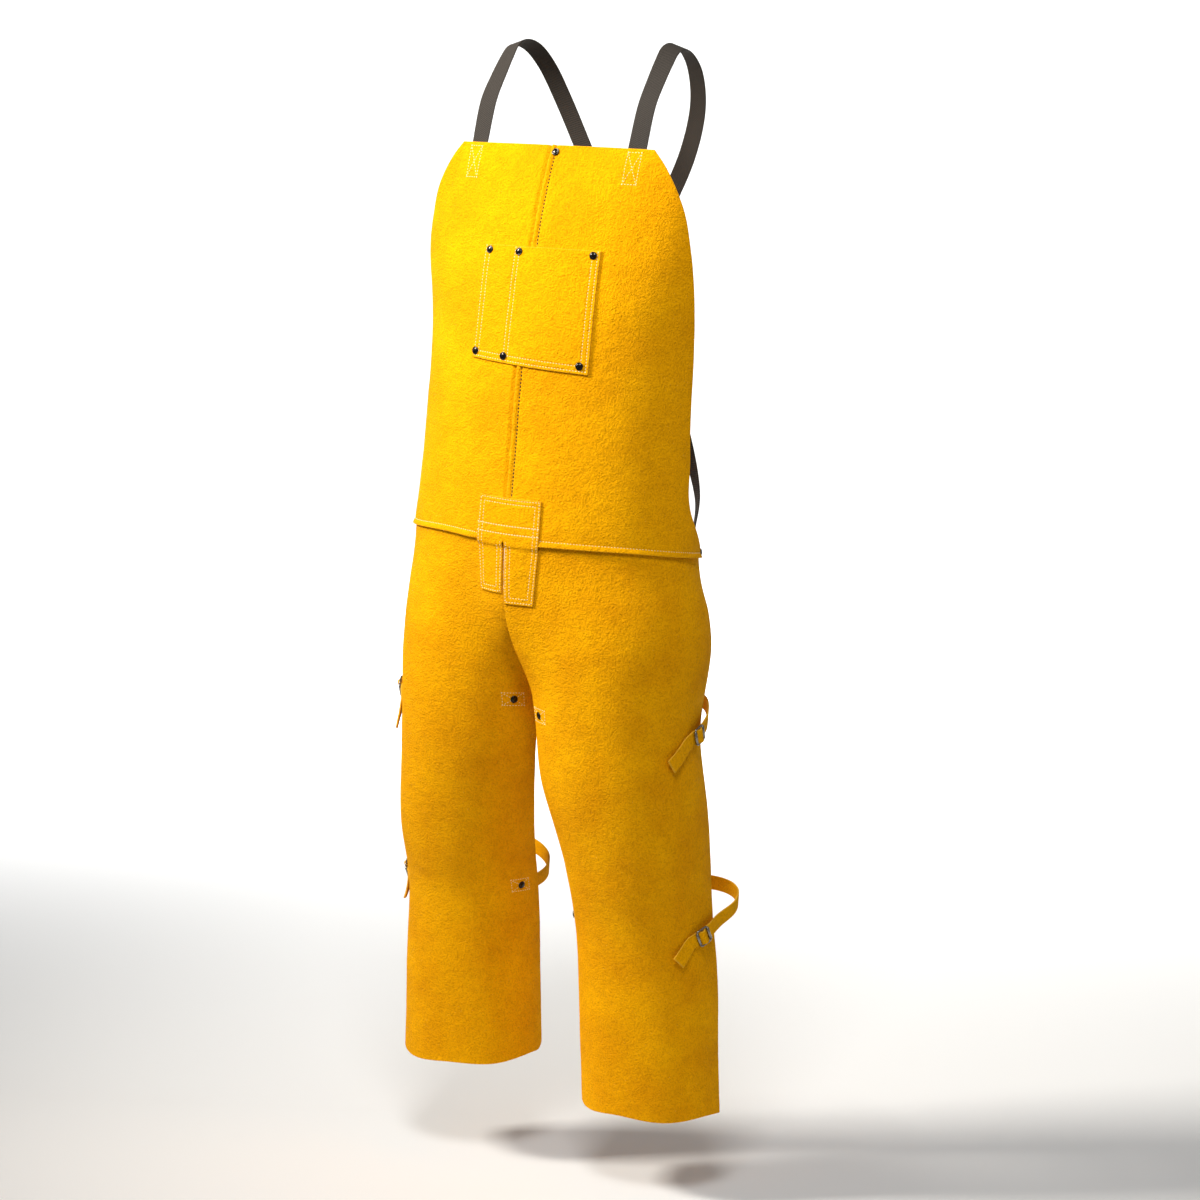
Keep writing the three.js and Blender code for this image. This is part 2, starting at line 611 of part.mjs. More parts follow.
function shoulderStrap(name) {
  const side = SIDES[name];
  const places = [];
  for (const below of [STRAP_TUCK, STRAP_TUCK / 2, 0]) {
    places.push(place(name, STRAP_SPREAD, BIB_LENGTH - below, BIB_LIFT + UNDER - PLY_GAP));
  }
  const front = WAIST_FRONT + CHEST_LEAN;
  for (const row of STRAP_FRONT) places.push(strapPlace(side, row, front * row.front, -BIB_DROP * row.drop));
  const foot = STRAP_FOOT.map(({ round, up }) => {
    const arc = PANEL_WIDTH - WAIST_RIVET_IN + round;
    return place(OTHER[name], arc, WAIST_RIVET_UP + up, WAIST_UNDER);
  });
  for (const row of [STRAP_TOP, ...STRAP_BACK]) {
    const raised = smoothstep(row.fall, CROSSING.from, CROSSING.full);
    const lowered = smoothstep(row.fall, CROSSING.fading, CROSSING.to);
    const lift = name === "left" ? CROSS_LIFT * raised * (1 - lowered) : 0;
    places.push(strapPlace(side, row, BACK_DEPTH * row.deep + lift, foot[1].point.z * row.fall));
  }
  return ribbon(stationsThrough([...places, ...foot], WEB_STEP), WEB_WIDTH, WEB);
}

// Leg straps
const legForm = {};
for (const name of ["left", "right"]) {
  legForm[name] = {};
  for (const key of ["out", "back", "radius", "turn"]) legForm[name][key] = column(LEG_SECTIONS[name], key);
}

// The buckle's own frame: on the panel, near its outer edge.
function buckleSeat(name, row) {
  const arc = PANEL_WIDTH - BUCKLE_IN[name];
  const above = -LEG_LENGTH * row.buckle;
  const { point, normal } = place(name, arc, above, BUCKLE_STAND);
  const up = formPoint(name, arc, above + FEEL).sub(formPoint(name, arc, above - FEEL)).normalize();
  const around = up.clone().cross(normal).multiplyScalar(-SIDES[name]);
  const fall = degToRad(row.slope);
  const flat = around.multiplyScalar(Math.cos(fall)).addScaledVector(up, -Math.sin(fall)).normalize();
  const turn = degToRad(BUCKLE_TURN);
  const along = flat.clone().multiplyScalar(Math.cos(turn)).addScaledVector(normal, -Math.sin(turn));
  const out = normal.clone().multiplyScalar(Math.cos(turn)).addScaledVector(flat, Math.sin(turn));
  return { point, normal: out, along, arc, above };
}

// How far the strap climbs from the buckle's middle to the panel's outer edge.
const edgeClimb = (name, row) => BUCKLE_IN[name] * Math.sin(degToRad(row.slope));

// Where a strap passes behind the leg: share runs from the panel's inner edge round to its outer edge.
function behindLeg(name, row, share) {
  const side = SIDES[name];
  const height = lerp(row.rivet, row.buckle, share);
  const form = legForm[name];
  const radius = LEG_RADIUS * form.radius(height);
  const half = PANEL_WIDTH / 2 / radius;
  const angle = degToRad(form.turn(height)) - half - share * 2 * (Math.PI - half);
  const swell = Math.sin(Math.PI * share ** LATE);
  const bulge = CALF_RISE * row.calf * swell;
  const reach = radius + lerp(STRAP_IN, STRAP_OUT, share) + bulge;
  const normal = vector(side * Math.sin(angle), -Math.cos(angle), 0);
  const climb = row.arch * STRAP_WIDTH * swell + share * edgeClimb(name, row);
  const middle = vector(side * STANCE * form.out(height), LEG_FRONT + LEG_SWING * form.back(height), 0);
  middle.z = formPoint(name, PANEL_WIDTH / 2, -LEG_LENGTH * height).z + climb;
  const squeeze = Math.min(1, (side * middle.x - THIGH_GAP) / (radius + bulge));
  const point = middle.clone().addScaledVector(normal, reach);
  if (side * (point.x - middle.x) < 0) point.x = lerp(middle.x, point.x, squeeze);
  return { point, normal };
}

const LEG_STRAP_STEP = 16;
const WEAVE_STEP = 1.4;
const TAIL_PARTS = 5;
const BEHIND_PARTS = 10;
const BUCKLE_REACH = BAR_SPACING * 1.5; // straight length of the strap to each side of the buckle's middle
function legStrap(name, row) {
  const level = -LEG_LENGTH * row.rivet;
  const rivetArc = RIVET_IN * row.in[name];
  const seat = buckleSeat(name, row);
  const onBuckle = (distance) => {
    const near = Math.abs(distance) < BAR_SPACING;
    const rise = near ? WEAVE * (1 + Math.cos((Math.PI * distance) / BAR_SPACING)) : 0;
    const point = seat.point.clone().addScaledVector(seat.along, distance);
    return { point: point.addScaledVector(seat.normal, rise), normal: seat.normal };
  };
  const inside = [rivetArc + STRAP_END, rivetArc, rivetArc / 2, SEAM_GAP];
  const round = inside.map((arc) => place(name, arc, level, STRAP_IN));
  for (const share of steps(0, 1, BEHIND_PARTS).slice(1, -1)) round.push(behindLeg(name, row, share));
  round.push(place(name, PANEL_WIDTH, seat.above + edgeClimb(name, row), BUCKLE_STAND + STRAP_OUT));
  round.push(onBuckle(-BUCKLE_REACH));
  const tail = [onBuckle(BUCKLE_REACH)];
  let { arc, above } = seat;
  arc -= BUCKLE_REACH * Math.cos(degToRad(row.slope));
  above -= BUCKLE_REACH * Math.sin(degToRad(row.slope));
  const free = TAIL * row.tail;
  const stride = free / TAIL_PARTS;
  for (const distance of steps(stride, free, TAIL_PARTS - 1)) {
    const fall = lerp(row.slope, row.droop + TAIL_HANG[name], smoothstep(distance, 0, TAIL_TURN));
    const heading = degToRad(fall);
    arc -= stride * Math.cos(heading);
    above -= stride * Math.sin(heading);
    tail.push(place(name, arc, above, STRAP_OUT + TAIL_RISE * (distance / free) ** 2));
  }
  const weaves = Math.round((2 * BUCKLE_REACH) / WEAVE_STEP);
  const weave = steps(-BUCKLE_REACH, BUCKLE_REACH, weaves).slice(1, -1);
  const stations = [
    ...stationsThrough(round, LEG_STRAP_STEP),
    ...weave.map(onBuckle),
    ...stationsThrough(tail, LEG_STRAP_STEP),
  ];
  return ribbon(stations, STRAP_WIDTH, STRAP_HIDE);
}

// Steel strap buckle with two slots.
function buckle(name, row) {
  const seat = buckleSeat(name, row);
  const wire = BUCKLE_WIRE;
  const length = 2 * BAR_SPACING + wire;
  const outline = new THREE.Shape();
  const x = length / 2;
  const y = BUCKLE_HEIGHT / 2;
  const r = wire / 2;
  outline.moveTo(-x, -y + r).lineTo(-x + r, -y).lineTo(x - r, -y).lineTo(x, -y + r);
  outline.lineTo(x, y - r).lineTo(x - r, y).lineTo(-x + r, y).lineTo(-x, y - r);
  const plate = new THREE.ExtrudeGeometry(outline, { depth: wire, bevelEnabled: false });
  plate.translate(0, 0, -wire / 2);
  const turn = new THREE.Matrix4().makeBasis(seat.along, seat.normal.clone().cross(seat.along), seat.normal);
  turn.setPosition(seat.point.clone().addScaledVector(seat.normal, WEAVE));
  let frame = solidOf(plate.applyMatrix4(turn));
  for (const middle of [-BAR_SPACING / 2, BAR_SPACING / 2]) {
    const slot = new THREE.BoxGeometry(BAR_SPACING - wire, BUCKLE_HEIGHT - 2 * wire, 2 * wire);
    frame = frame.subtract(solidOf(slot.translate(middle, 0, 0).applyMatrix4(turn)));
  }
  return frame;
}

const leather = (color) => new THREE.MeshStandardMaterial({ color, roughness: 0.95, metalness: 0 });
const materials = {
  bib: leather(0xe9a400),
  leg: leather(0xe39d00),
  trim: leather(0xeeac08),
  webbing: new THREE.MeshStandardMaterial({ color: 0x3a342e, roughness: 0.9, metalness: 0 }),
  steel: new THREE.MeshStandardMaterial({ color: 0xa8a49c, roughness: 0.3, metalness: 1 }),
  rivet: new THREE.MeshStandardMaterial({ color: 0x2b2826, roughness: 0.35, metalness: 1 }),
};

const apron = new THREE.Group();
function addNode(name, solid, material) {
  const made = solid.getMesh();
  const geometry = new THREE.BufferGeometry();
  geometry.setAttribute("position", new THREE.BufferAttribute(made.vertProperties, 3));
  geometry.setIndex(new THREE.BufferAttribute(made.triVerts, 1));
  geometry.computeVertexNormals();
  const mesh = new THREE.Mesh(geometry, material.clone());
  mesh.name = name;
  apron.add(mesh);
}

addPocketRivets();
for (const name of ["left", "right"]) {
  for (const row of LEG_STRAPS) {
    const seat = place(name, RIVET_IN * row.in[name], -LEG_LENGTH * row.rivet, 0);
    addRivet(`rivet_${name}_${row.at}`, seat, STRAP_IN - STRAP_HIDE / 2, HIDE / 2);
  }
  const end = place(name, PANEL_WIDTH - WAIST_RIVET_IN, WAIST_RIVET_UP, 0);
  addRivet(`rivet_${name}_waist`, end, WAIST_UNDER - WEB / 2 - SEAT, PLY + HIDE / 2);
}
const seamRivet = place("left", SEAM_LAP / 2, BIB_LENGTH - BIB_RIVET_DOWN, BIB_LIFT);
addRivet("rivet_bib_top", seamRivet, -PLY - HIDE / 2, HIDE / 2);

addNode("bib_left", drill(bibLeft(), ["rivet_bib", "rivet_pocket", "rivet_left_waist"]), materials.bib);
addNode("bib_right", drill(bibRight(), ["rivet_bib", "rivet_pocket", "rivet_right_waist"]), materials.bib);
addNode("chest_pocket", drill(pocket(), ["rivet_pocket"]), materials.trim);
addNode("crotch_patch", patch(), materials.trim);
for (const name of ["left", "right"]) {
  addNode("leg_panel_" + name, drill(legPanel(name), ["rivet_" + name]), materials.leg);
  const webbing = drill(shoulderStrap(name), [`rivet_${OTHER[name]}_waist`]);
  addNode("shoulder_strap_" + name, webbing, materials.webbing);
  for (const row of LEG_STRAPS) {
    const label = name + "_" + row.at;
    addNode("leg_strap_" + label, drill(legStrap(name, row), ["rivet_" + label]), materials.trim);
    addNode("buckle_" + label, buckle(name, row), materials.steel);
  }
}
for (const rivet of rivets) addNode(rivet.name, rivetSolid(rivet), materials.rivet);

export default apron;
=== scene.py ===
"""Split leg welding bib apron in its worn form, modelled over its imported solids.

The form is worked out in millimetres from the same named sizes as the solids, and built in metres.
"""

import bmesh
import bpy
import numpy as np
from mathutils import Matrix, Vector


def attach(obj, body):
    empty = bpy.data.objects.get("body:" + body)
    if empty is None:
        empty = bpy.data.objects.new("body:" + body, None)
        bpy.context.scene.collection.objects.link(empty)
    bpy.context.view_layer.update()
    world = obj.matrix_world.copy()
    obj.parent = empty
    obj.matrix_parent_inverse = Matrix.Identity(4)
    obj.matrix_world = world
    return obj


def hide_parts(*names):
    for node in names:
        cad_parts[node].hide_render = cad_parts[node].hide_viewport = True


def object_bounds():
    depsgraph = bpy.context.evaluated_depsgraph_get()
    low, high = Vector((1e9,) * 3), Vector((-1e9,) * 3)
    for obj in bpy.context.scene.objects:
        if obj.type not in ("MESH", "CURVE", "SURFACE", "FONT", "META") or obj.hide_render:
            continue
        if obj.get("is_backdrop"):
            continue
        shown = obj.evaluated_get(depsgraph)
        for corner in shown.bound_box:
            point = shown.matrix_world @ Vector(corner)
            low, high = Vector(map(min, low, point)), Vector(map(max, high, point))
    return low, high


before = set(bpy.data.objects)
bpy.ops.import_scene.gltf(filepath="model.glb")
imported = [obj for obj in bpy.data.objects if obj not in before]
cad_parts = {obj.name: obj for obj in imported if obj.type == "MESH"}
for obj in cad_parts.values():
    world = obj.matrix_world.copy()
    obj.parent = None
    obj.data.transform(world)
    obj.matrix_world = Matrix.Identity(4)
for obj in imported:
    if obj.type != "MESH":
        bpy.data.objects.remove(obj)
CAD_BOX = [list(corner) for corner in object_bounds()]

bl_info = {
    "name": "Split leg welding apron",
    "version": (1, 0, 0),
    "blender": (4, 5, 0),
    "location": "View3D > Sidebar > Apron",
    "description": "Builds a split leather welding apron in its worn form",
    "category": "Add Mesh",
}

MM = 0.001

# Sizes shared with the solids, in millimetres
HIDE = 1.8
STRAP_HIDE = 2.2
WEB = 1.6
WEB_WIDTH = 25
STRAP_WIDTH = 19
PLY_GAP = 0.6
SEAM_GAP = 0.8
BIB_DROP = 129
BIB_LENGTH = 497
LEG_LENGTH = 727
PANEL_WIDTH = 305
HEM_LAP = 14
HEM_BELOW = 3
WAIST_BREADTH = 191
WAIST_DEPTH = 124
WAIST_FRONT = -181
CHEST_LEAN = 88
WAIST_FALL = 10
LEG_RADIUS = 110
STANCE = 135
LEG_SWING = 70
LEG_FRONT = -55
HANG_START = 0.08
HANG_END = 0.27
HANG_WIDTH = 60
HEM_DROP = 17
HEM_TILT = {"left": 0, "right": 9}
HEM_CORNER = 16
HEM_WAVE = 2
HEM_WAVES = 2.5
HEM_RISE = 3
FOLD = 10
POCKET_WIDTH = 166
POCKET_HEIGHT = 154
POCKET_SKEW = 11
POCKET_SHIFT = 12
POCKET_TOP = 127
PATCH_LEFT = 49
PATCH_RIGHT = 39
PATCH_ABOVE = 54
TAB_LEFT = 77
TAB_RIGHT = 68
TAB_TAPER = 0.8
SLIT = 3.5
SEAM_LAP = 15
STRAP_SPREAD = 116
STRAP_TUCK = 42
BACK_DEPTH = 118
WAIST_RIVET_IN = 10
WAIST_RIVET_UP = 4
STRAP_END = 14
RIVET_IN = 30
BUCKLE_IN = {"left": 38, "right": 24}
BUCKLE_AIR = 3.4
BUCKLE_TURN = 10
LATE = 1.5
CALF_RISE = 24
THIGH_GAP = 9
TAIL = 52
TAIL_HANG = {"left": 0, "right": 28}
TAIL_TURN = 14
TAIL_RISE = 5
BUCKLE_WIRE = 2.4
ROLLER = 4.2
BAR_SPACING = 8.5
SEAT = 0.5
BIB_RIVET_DOWN = 9

PLY = HIDE + PLY_GAP
CROSS_LIFT = WEB + 1.8
BUCKLE_HEIGHT = STRAP_WIDTH + 2 * BUCKLE_WIRE + 1.2
WEAVE = (STRAP_HIDE + BUCKLE_WIRE) / 2 + 1
WAIST_Z = -BIB_DROP - BIB_LENGTH
UNDER = -(HIDE / 2 + PLY_GAP + WEB / 2 + SEAT)
WAIST_UNDER = UNDER - PLY_GAP
STRAP_OUT = HIDE / 2 + PLY_GAP + STRAP_HIDE / 2
STRAP_IN = -STRAP_OUT - PLY_GAP
BUCKLE_STAND = STRAP_OUT + BUCKLE_AIR
BUCKLE_REACH = BAR_SPACING * 1.5
SIDES = {"left": 1, "right": -1}
OTHER = {"left": "right", "right": "left"}


def rows(names, *values):
    """A table with named columns: each column's name and its values."""
    return dict(zip(names.split(), np.array(values, float).T))


# Bib sections upwards from the waist seam: back is a share of CHEST_LEAN, breadth and depth are shares of
# the waist's, and width of PANEL_WIDTH
BIB = rows(
    "level back breadth depth width",
    (0, 0, 1.03, 1, 1),
    (0.03, 0.01, 1.025, 1, 0.93),
    (0.08, 0.03, 1.015, 1, 0.845),
    (0.24, 0.11, 1, 1, 0.785),
    (0.51, 0.26, 1, 0.97, 0.75),
    (0.75, 0.51, 1.07, 0.82, 0.675),
    (0.86, 0.69, 1.07, 0.65, 0.615),
    (0.93, 0.83, 1.07, 0.515, 0.552),
    (0.965, 0.91, 1.07, 0.445, 0.512),
    (1, 1, 1.07, 0.36, 0.46),
)
# How the waist seam rises from the right to the left, as shares of WAIST_FALL
WAIST_LINE = rows(
    "level rise",
    (-1, 0.4),
    (-0.65, 0.7),
    (-0.33, 1.1),
    (0, 0.6),
    (0.35, 0.4),
    (0.55, 0.15),
    (0.8, -0.6),
    (1, -1.3),
)
# Leg sections downwards from the waist seam, as in the solids
LEGS = {
    "left": rows(
        "level out back radius turn",
        (0.3, 0.75, 0, 1, 34),
        (0.42, 0.81, 0.05, 0.955, 28),
        (0.57, 0.945, 0.33, 0.865, 15),
        (0.68, 0.98, 0.7, 0.88, 5),
        (0.85, 0.99, 0.87, 0.855, 1),
        (1.02, 1.02, 1, 0.85, -1),
    ),
    "right": rows(
        "level out back radius turn",
        (0.3, 0.78, 0, 0.98, 8),
        (0.42, 0.83, 0.07, 0.925, 7),
        (0.57, 0.945, 0.33, 0.865, 2),
        (0.68, 1.005, 0.68, 0.845, -1),
        (0.85, 1.045, 0.87, 0.84, -5),
        (1.02, 1.06, 1, 0.855, -10),
    ),
}
# Soft folds of the leg panels, rises as shares of FOLD
FOLDS = {
    "left": rows(
        "level across tall wide rise",
        (0.15, 0.85, 0.1, 0.4, 1.4),
        (0.31, 1, 0.09, 0.3, -0.6),
        (0.45, 0.95, 0.09, 0.3, 0.4),
        (0.67, 1, 0.09, 0.3, -0.6),
        (0.9, 0.8, 0.12, 0.12, 0.3),
    ),
    "right": rows(
        "level across tall wide rise",
        (0.15, 0.85, 0.1, 0.4, 0.3),
        (0.31, 1, 0.09, 0.3, -0.5),
        (0.67, 1, 0.09, 0.3, -0.6),
        (0.9, 0.15, 0.1, 0.15, 0.3),
    ),
}
# Rivets of the chest pocket, as shares of its width from the right and of its height from the foot
POCKET_RIVETS = [(0.06, 0.955), (0.335, 0.955), (0.945, 0.96), (0.03, 0.06), (0.3, 0.06), (0.93, 0.065)]
# Shoulder strap route: out, front or deep, drop or fall, pitch, splay, as in the solids
STRAP_FRONT = [
    (1, 0.7, 0.58, 35, 4),
    (1, 0.46, 0.33, 45, 8),
    (1, 0.26, 0.15, 52, 14),
    (1, 0.12, 0.045, 68, 18),
]
STRAP_BACK = [
    (1, 0.05, 0, 90, 18),
    (0.98, 0.28, 0.008, 112, 17),
    (0.95, 0.56, 0.045, 135, 14),
    (0.86, 0.82, 0.12, 158, 10),
    (0.66, 0.97, 0.22, 172, 4),
    (0.34, 1.03, 0.34, 180, 0),
    (0, 1.02, 0.47, 184, 0),
    (-0.4, 0.92, 0.62, 188, -8),
    (-0.85, 0.72, 0.76, 188, -24),
    (-1.3, 0.36, 0.9, 182, -48),
]
STRAP_FOOT = [(26, 18), (0, 0), (-14, -9)]
CROSSING = (0.1, 0.3, 0.6, 0.8)
# Leg straps: places are shares of LEG_LENGTH, angles in degrees, the rest shares of the size they belong to
THIGH_IN = {"left": 0.6, "right": 1.2}
SHIN_IN = {"left": 1.2, "right": 1.2}
LEG_STRAPS = {
    "thigh": dict(rivet=0.298, inset=THIGH_IN, buckle=0.311, slope=24, droop=38, tail=1, arch=0.6, calf=0.3),
    "shin": dict(rivet=0.664, inset=SHIN_IN, buckle=0.668, slope=22, droop=48, tail=0.73, arch=1.2, calf=1),
}


def smoothstep(x, low, high):
    """0 below low, 1 above high and a smooth rise between them."""
    t = np.clip((np.asarray(x, float) - low) / (high - low), 0, 1)
    return t * t * (3 - 2 * t)


def lerp(a, b, t):
    """The value a share t of the way from a to b."""
    return a + (b - a) * t


def unit(v):
    """Vectors along the last axis, made one long."""
    return v / np.linalg.norm(v, axis=-1, keepdims=True)


def column(levels, values, asked):
    """A smooth curve through values at levels. values may hold a curve for each value asked."""
    values = np.asarray(values, float)
    values = values[:, None] if values.ndim == 1 else values
    asked = np.atleast_1d(np.asarray(asked, float))
    rise = np.diff(values, axis=0) / np.diff(levels)[:, None]
    part = ((levels[1:-1] - levels[:-2]) / (levels[2:] - levels[:-2]))[:, None]
    slope = np.concatenate([rise[:1], lerp(rise[:-1], rise[1:], part), rise[-1:]])
    level = np.clip(asked, levels[0], levels[-1])
    i = np.clip(np.searchsorted(levels, level) - 1, 0, len(levels) - 2)
    at = np.arange(len(asked)) if values.shape[1] > 1 else np.zeros(len(asked), int)
    span = levels[i + 1] - levels[i]
    t = (level - levels[i]) / span
    bend = (2 * t**3 - 3 * t**2 + 1) * values[i, at] + (3 * t**2 - 2 * t**3) * values[i + 1, at]
    lean = (t**3 - 2 * t**2 + t) * slope[i, at] + (t**3 - t**2) * slope[i + 1, at]
    end = np.where(asked > level, len(levels) - 1, 0)
    return bend + span * lean + (asked - level) * slope[end, at]


def ellipse_turns():
    """The angle round an ellipse by the length round it, for a row of depths as shares of its breadth."""
    depths = np.linspace(0.1, 1.2, 221)
    lengths = np.linspace(0, 2.4, 481)
    turns = np.radians(np.linspace(0, 170, 681))
    middle = (turns[1:] + turns[:-1]) / 2
    table = []
    for depth in depths:
        pace = np.hypot(np.cos(middle), depth * np.sin(middle))
        table.append(np.interp(lengths, np.concatenate([[0], np.cumsum(pace * np.diff(turns))]), turns))
    return depths, lengths, np.array(table)


DEPTHS, LENGTHS, TURNS = ellipse_turns()


def turn_at(length, depth):
    """The angle of ellipse_turns between its values."""
    u = np.clip(length / LENGTHS[1], 0, len(LENGTHS) - 1.001)
    v = np.clip((depth - DEPTHS[0]) / (DEPTHS[1] - DEPTHS[0]), 0, len(DEPTHS) - 1.001)
    i, j = u.astype(int), v.astype(int)
    low = lerp(TURNS[j, i], TURNS[j, i + 1], u - i)
    high = lerp(TURNS[j + 1, i], TURNS[j + 1, i + 1], u - i)
    return lerp(low, high, v - j)


def torso(arc, level):
    """Across and front to back on the torso's section, by the length round it from the middle line."""
    breadth = WAIST_BREADTH * column(BIB["level"], BIB["breadth"], level)
    depth = WAIST_DEPTH * column(BIB["level"], BIB["depth"], level)
    front = WAIST_FRONT + CHEST_LEAN * column(BIB["level"], BIB["back"], level)
    turn = turn_at(np.abs(arc) / breadth, depth / breadth)
    return np.sign(arc) * breadth * np.sin(turn), front + depth * (1 - np.cos(turn))


def form_point(name, arc, above):
    """Points of the worn form's own surface, for flat arrays. above is negative below the waist."""
    side = SIDES[name]
    level = above / BIB_LENGTH
    down = np.maximum(-above, 0) / LEG_LENGTH
    rise = WAIST_FALL * column(WAIST_LINE["level"], WAIST_LINE["rise"], side * arc / PANEL_WIDTH)
    rise = rise * (1 - np.clip(np.maximum(level, down), 0, 1)) ** 2
    x, y = torso(arc, np.maximum(level, 0))
    leg = LEGS[name]
    radius = LEG_RADIUS * leg["radius"][:, None]
    angle = np.radians(leg["turn"])[:, None] + (arc[None] - PANEL_WIDTH / 2) / radius
    start_x, start_y = torso(arc, np.zeros(len(arc)))
    knots_x = np.vstack([start_x, STANCE * leg["out"][:, None] + radius * np.sin(angle)])
    knots_y = np.vstack([start_y, LEG_FRONT + LEG_SWING * leg["back"][:, None] - radius * np.cos(angle)])
    levels = np.concatenate([[0], leg["level"]])
    low = above < 0
    hang = np.exp(-((arc / HANG_WIDTH) ** 2)) * (1 - smoothstep(down, HANG_START, HANG_END))
    x = np.where(low, lerp(column(levels, knots_x, down), start_x, hang), x)
    y = np.where(low, lerp(column(levels, knots_y, down), start_y, hang), y)
    z = WAIST_Z + above + rise - side * HEM_DROP * down
    return np.stack([side * x, y, z], -1)


LATTICE_SIZE = 64
LATTICE = np.random.default_rng(7).random((LATTICE_SIZE, LATTICE_SIZE)) * 2 - 1
WAVES = ((1.1, 95, 0), (0.45, 34, 40), (0.1, 11, 0))  # the hide's own waves: height, length and shift


def bumps(x, y, size):
    """Smooth value noise from -1 to 1 with bumps of that size."""
    u, v = x / size + 17.3, y / size + 5.1
    i, j = np.floor(u).astype(int), np.floor(v).astype(int)
    s, t = smoothstep(u - i, 0, 1), smoothstep(v - j, 0, 1)
    corner = lambda a, b: LATTICE[(i + a) % LATTICE_SIZE, (j + b) % LATTICE_SIZE]
    return lerp(lerp(corner(0, 0), corner(1, 0), s), lerp(corner(0, 1), corner(1, 1), s), t)


def rise_at(name, arc, above):
    """How far folds and the hide's own soft waves raise the form."""
    fold = FOLDS[name]
    down = (-above[None] / LEG_LENGTH - fold["level"][:, None]) / fold["tall"][:, None]
    wide = (arc[None] / PANEL_WIDTH - fold["across"][:, None]) / fold["wide"][:, None]
    rise = FOLD * (fold["rise"][:, None] * np.exp(-(down**2) - wide**2)).sum(0)
    rise = rise * smoothstep(-above, 0, LEG_LENGTH / 10)
    across = SIDES[name] * arc
    wave = sum(height * bumps(across + shift, above, length) for height, length, shift in WAVES)
    return rise + wave * look().softness


FEEL = 2  # reach in millimetres when a surface's slope is felt


def place(name, arc, above, lift=0.0):
    """Points and outward directions of a layer that lies lift outside the form, in millimetres."""
    arc, above, lift = np.broadcast_arrays(*(np.asarray(v, float) for v in (arc, above, lift)))
    shape = arc.shape
    arc, above, lift = arc.ravel(), above.ravel(), lift.ravel()
    across = form_point(name, arc + FEEL, above) - form_point(name, arc - FEEL, above)
    up = form_point(name, arc, above + FEEL) - form_point(name, arc, above - FEEL)
    normal = unit(np.cross(SIDES[name] * across, up))
    point = form_point(name, arc, above) + normal * rise_at(name, arc, above)[:, None]
    lean_across = rise_at(name, arc + FEEL, above) - rise_at(name, arc - FEEL, above)
    lean_up = rise_at(name, arc, above + FEEL) - rise_at(name, arc, above - FEEL)
    normal = normal - across * (lean_across / (across**2).sum(-1))[:, None]
    normal = unit(normal - up * (lean_up / (up**2).sum(-1))[:, None])
    point = point + normal * lift[:, None]
    return point.reshape(*shape, 3), normal.reshape(*shape, 3)


def on_side(name):
    """place for one side."""
    return lambda arc, above, lift=0.0: place(name, arc, above, lift)


def place_signed(arc, above, lift=0.0):
    """place for an arc that is positive to the left of the middle line and negative to the right."""
    arc = np.asarray(arc, float)
    left = place("left", np.abs(arc), above, lift)
    right = place("right", np.abs(arc), above, lift)
    return tuple(np.where((arc < 0)[..., None], r, l) for l, r in zip(left, right))


# Materials
def linear(code):
    """An sRGB hex colour as linear red, green and blue."""
    parts = [int(code[i : i + 2], 16) / 255 for i in (1, 3, 5)]
    return tuple(p / 12.92 if p <= 0.04045 else ((p + 0.055) / 1.055) ** 2.4 for p in parts)


def add_node(tree, kind, inputs=None, **settings):
    """A node with its settings, and its inputs either linked or set."""
    made = tree.nodes.new(kind)
    for key, value in settings.items():
        setattr(made, key, value)
    for key, value in (inputs or {}).items():
        if isinstance(value, bpy.types.NodeSocket):
            tree.links.new(value, made.inputs[key])
        else:
            made.inputs[key].default_value = value
    return made


def rgba(color):
    """A colour with alpha, from an sRGB hex code or from linear values."""
    return (*(linear(color) if isinstance(color, str) else color), 1)


def new_material(name, color, roughness, metallic=0.0, specular=0.5):
    """A material with its plain values on the shader's own sockets."""
    made = bpy.data.materials.new(name)
    made.use_nodes = True
    made.diffuse_color = rgba(color)
    shader = made.node_tree.nodes["Principled BSDF"]
    shader.inputs["Base Color"].default_value = rgba(color)
    shader.inputs["Roughness"].default_value = roughness
    shader.inputs["Metallic"].default_value = metallic
    shader.inputs["Specular IOR Level"].default_value = specular
    return made, made.node_tree, shader


MIX_A, MIX_B, MIX_OUT = 6, 7, 2  # the mix node's sockets for colours


def layered(tree, body, layers):
    """A colour under layers, each (value, the two values between which it comes in, its most, its colour)."""
    for value, low, high, most, color in layers:
        inputs = {"Value": value, "From Min": low, "From Max": high, "To Max": most}
        share = add_node(tree, "ShaderNodeMapRange", inputs).outputs["Result"]
        inputs = {0: share, MIX_A: body, MIX_B: rgba(color)}
        body = add_node(tree, "ShaderNodeMix", inputs, data_type="RGBA").outputs[MIX_OUT]
    return body


CLOUD_SIZE = 0.06  # shades of the hide from place to place
NAP_SIZE = 0.012  # tufts that were brushed one way
FIBRE_SIZE = 0.0024  # real fibres are finer, and these are as coarse as the render needs to show them
HIDE_DARK = "#9a5f00"
HIDE_LIGHT = "#f6ae00"
HIDE_CUT = "#f4bd3a"


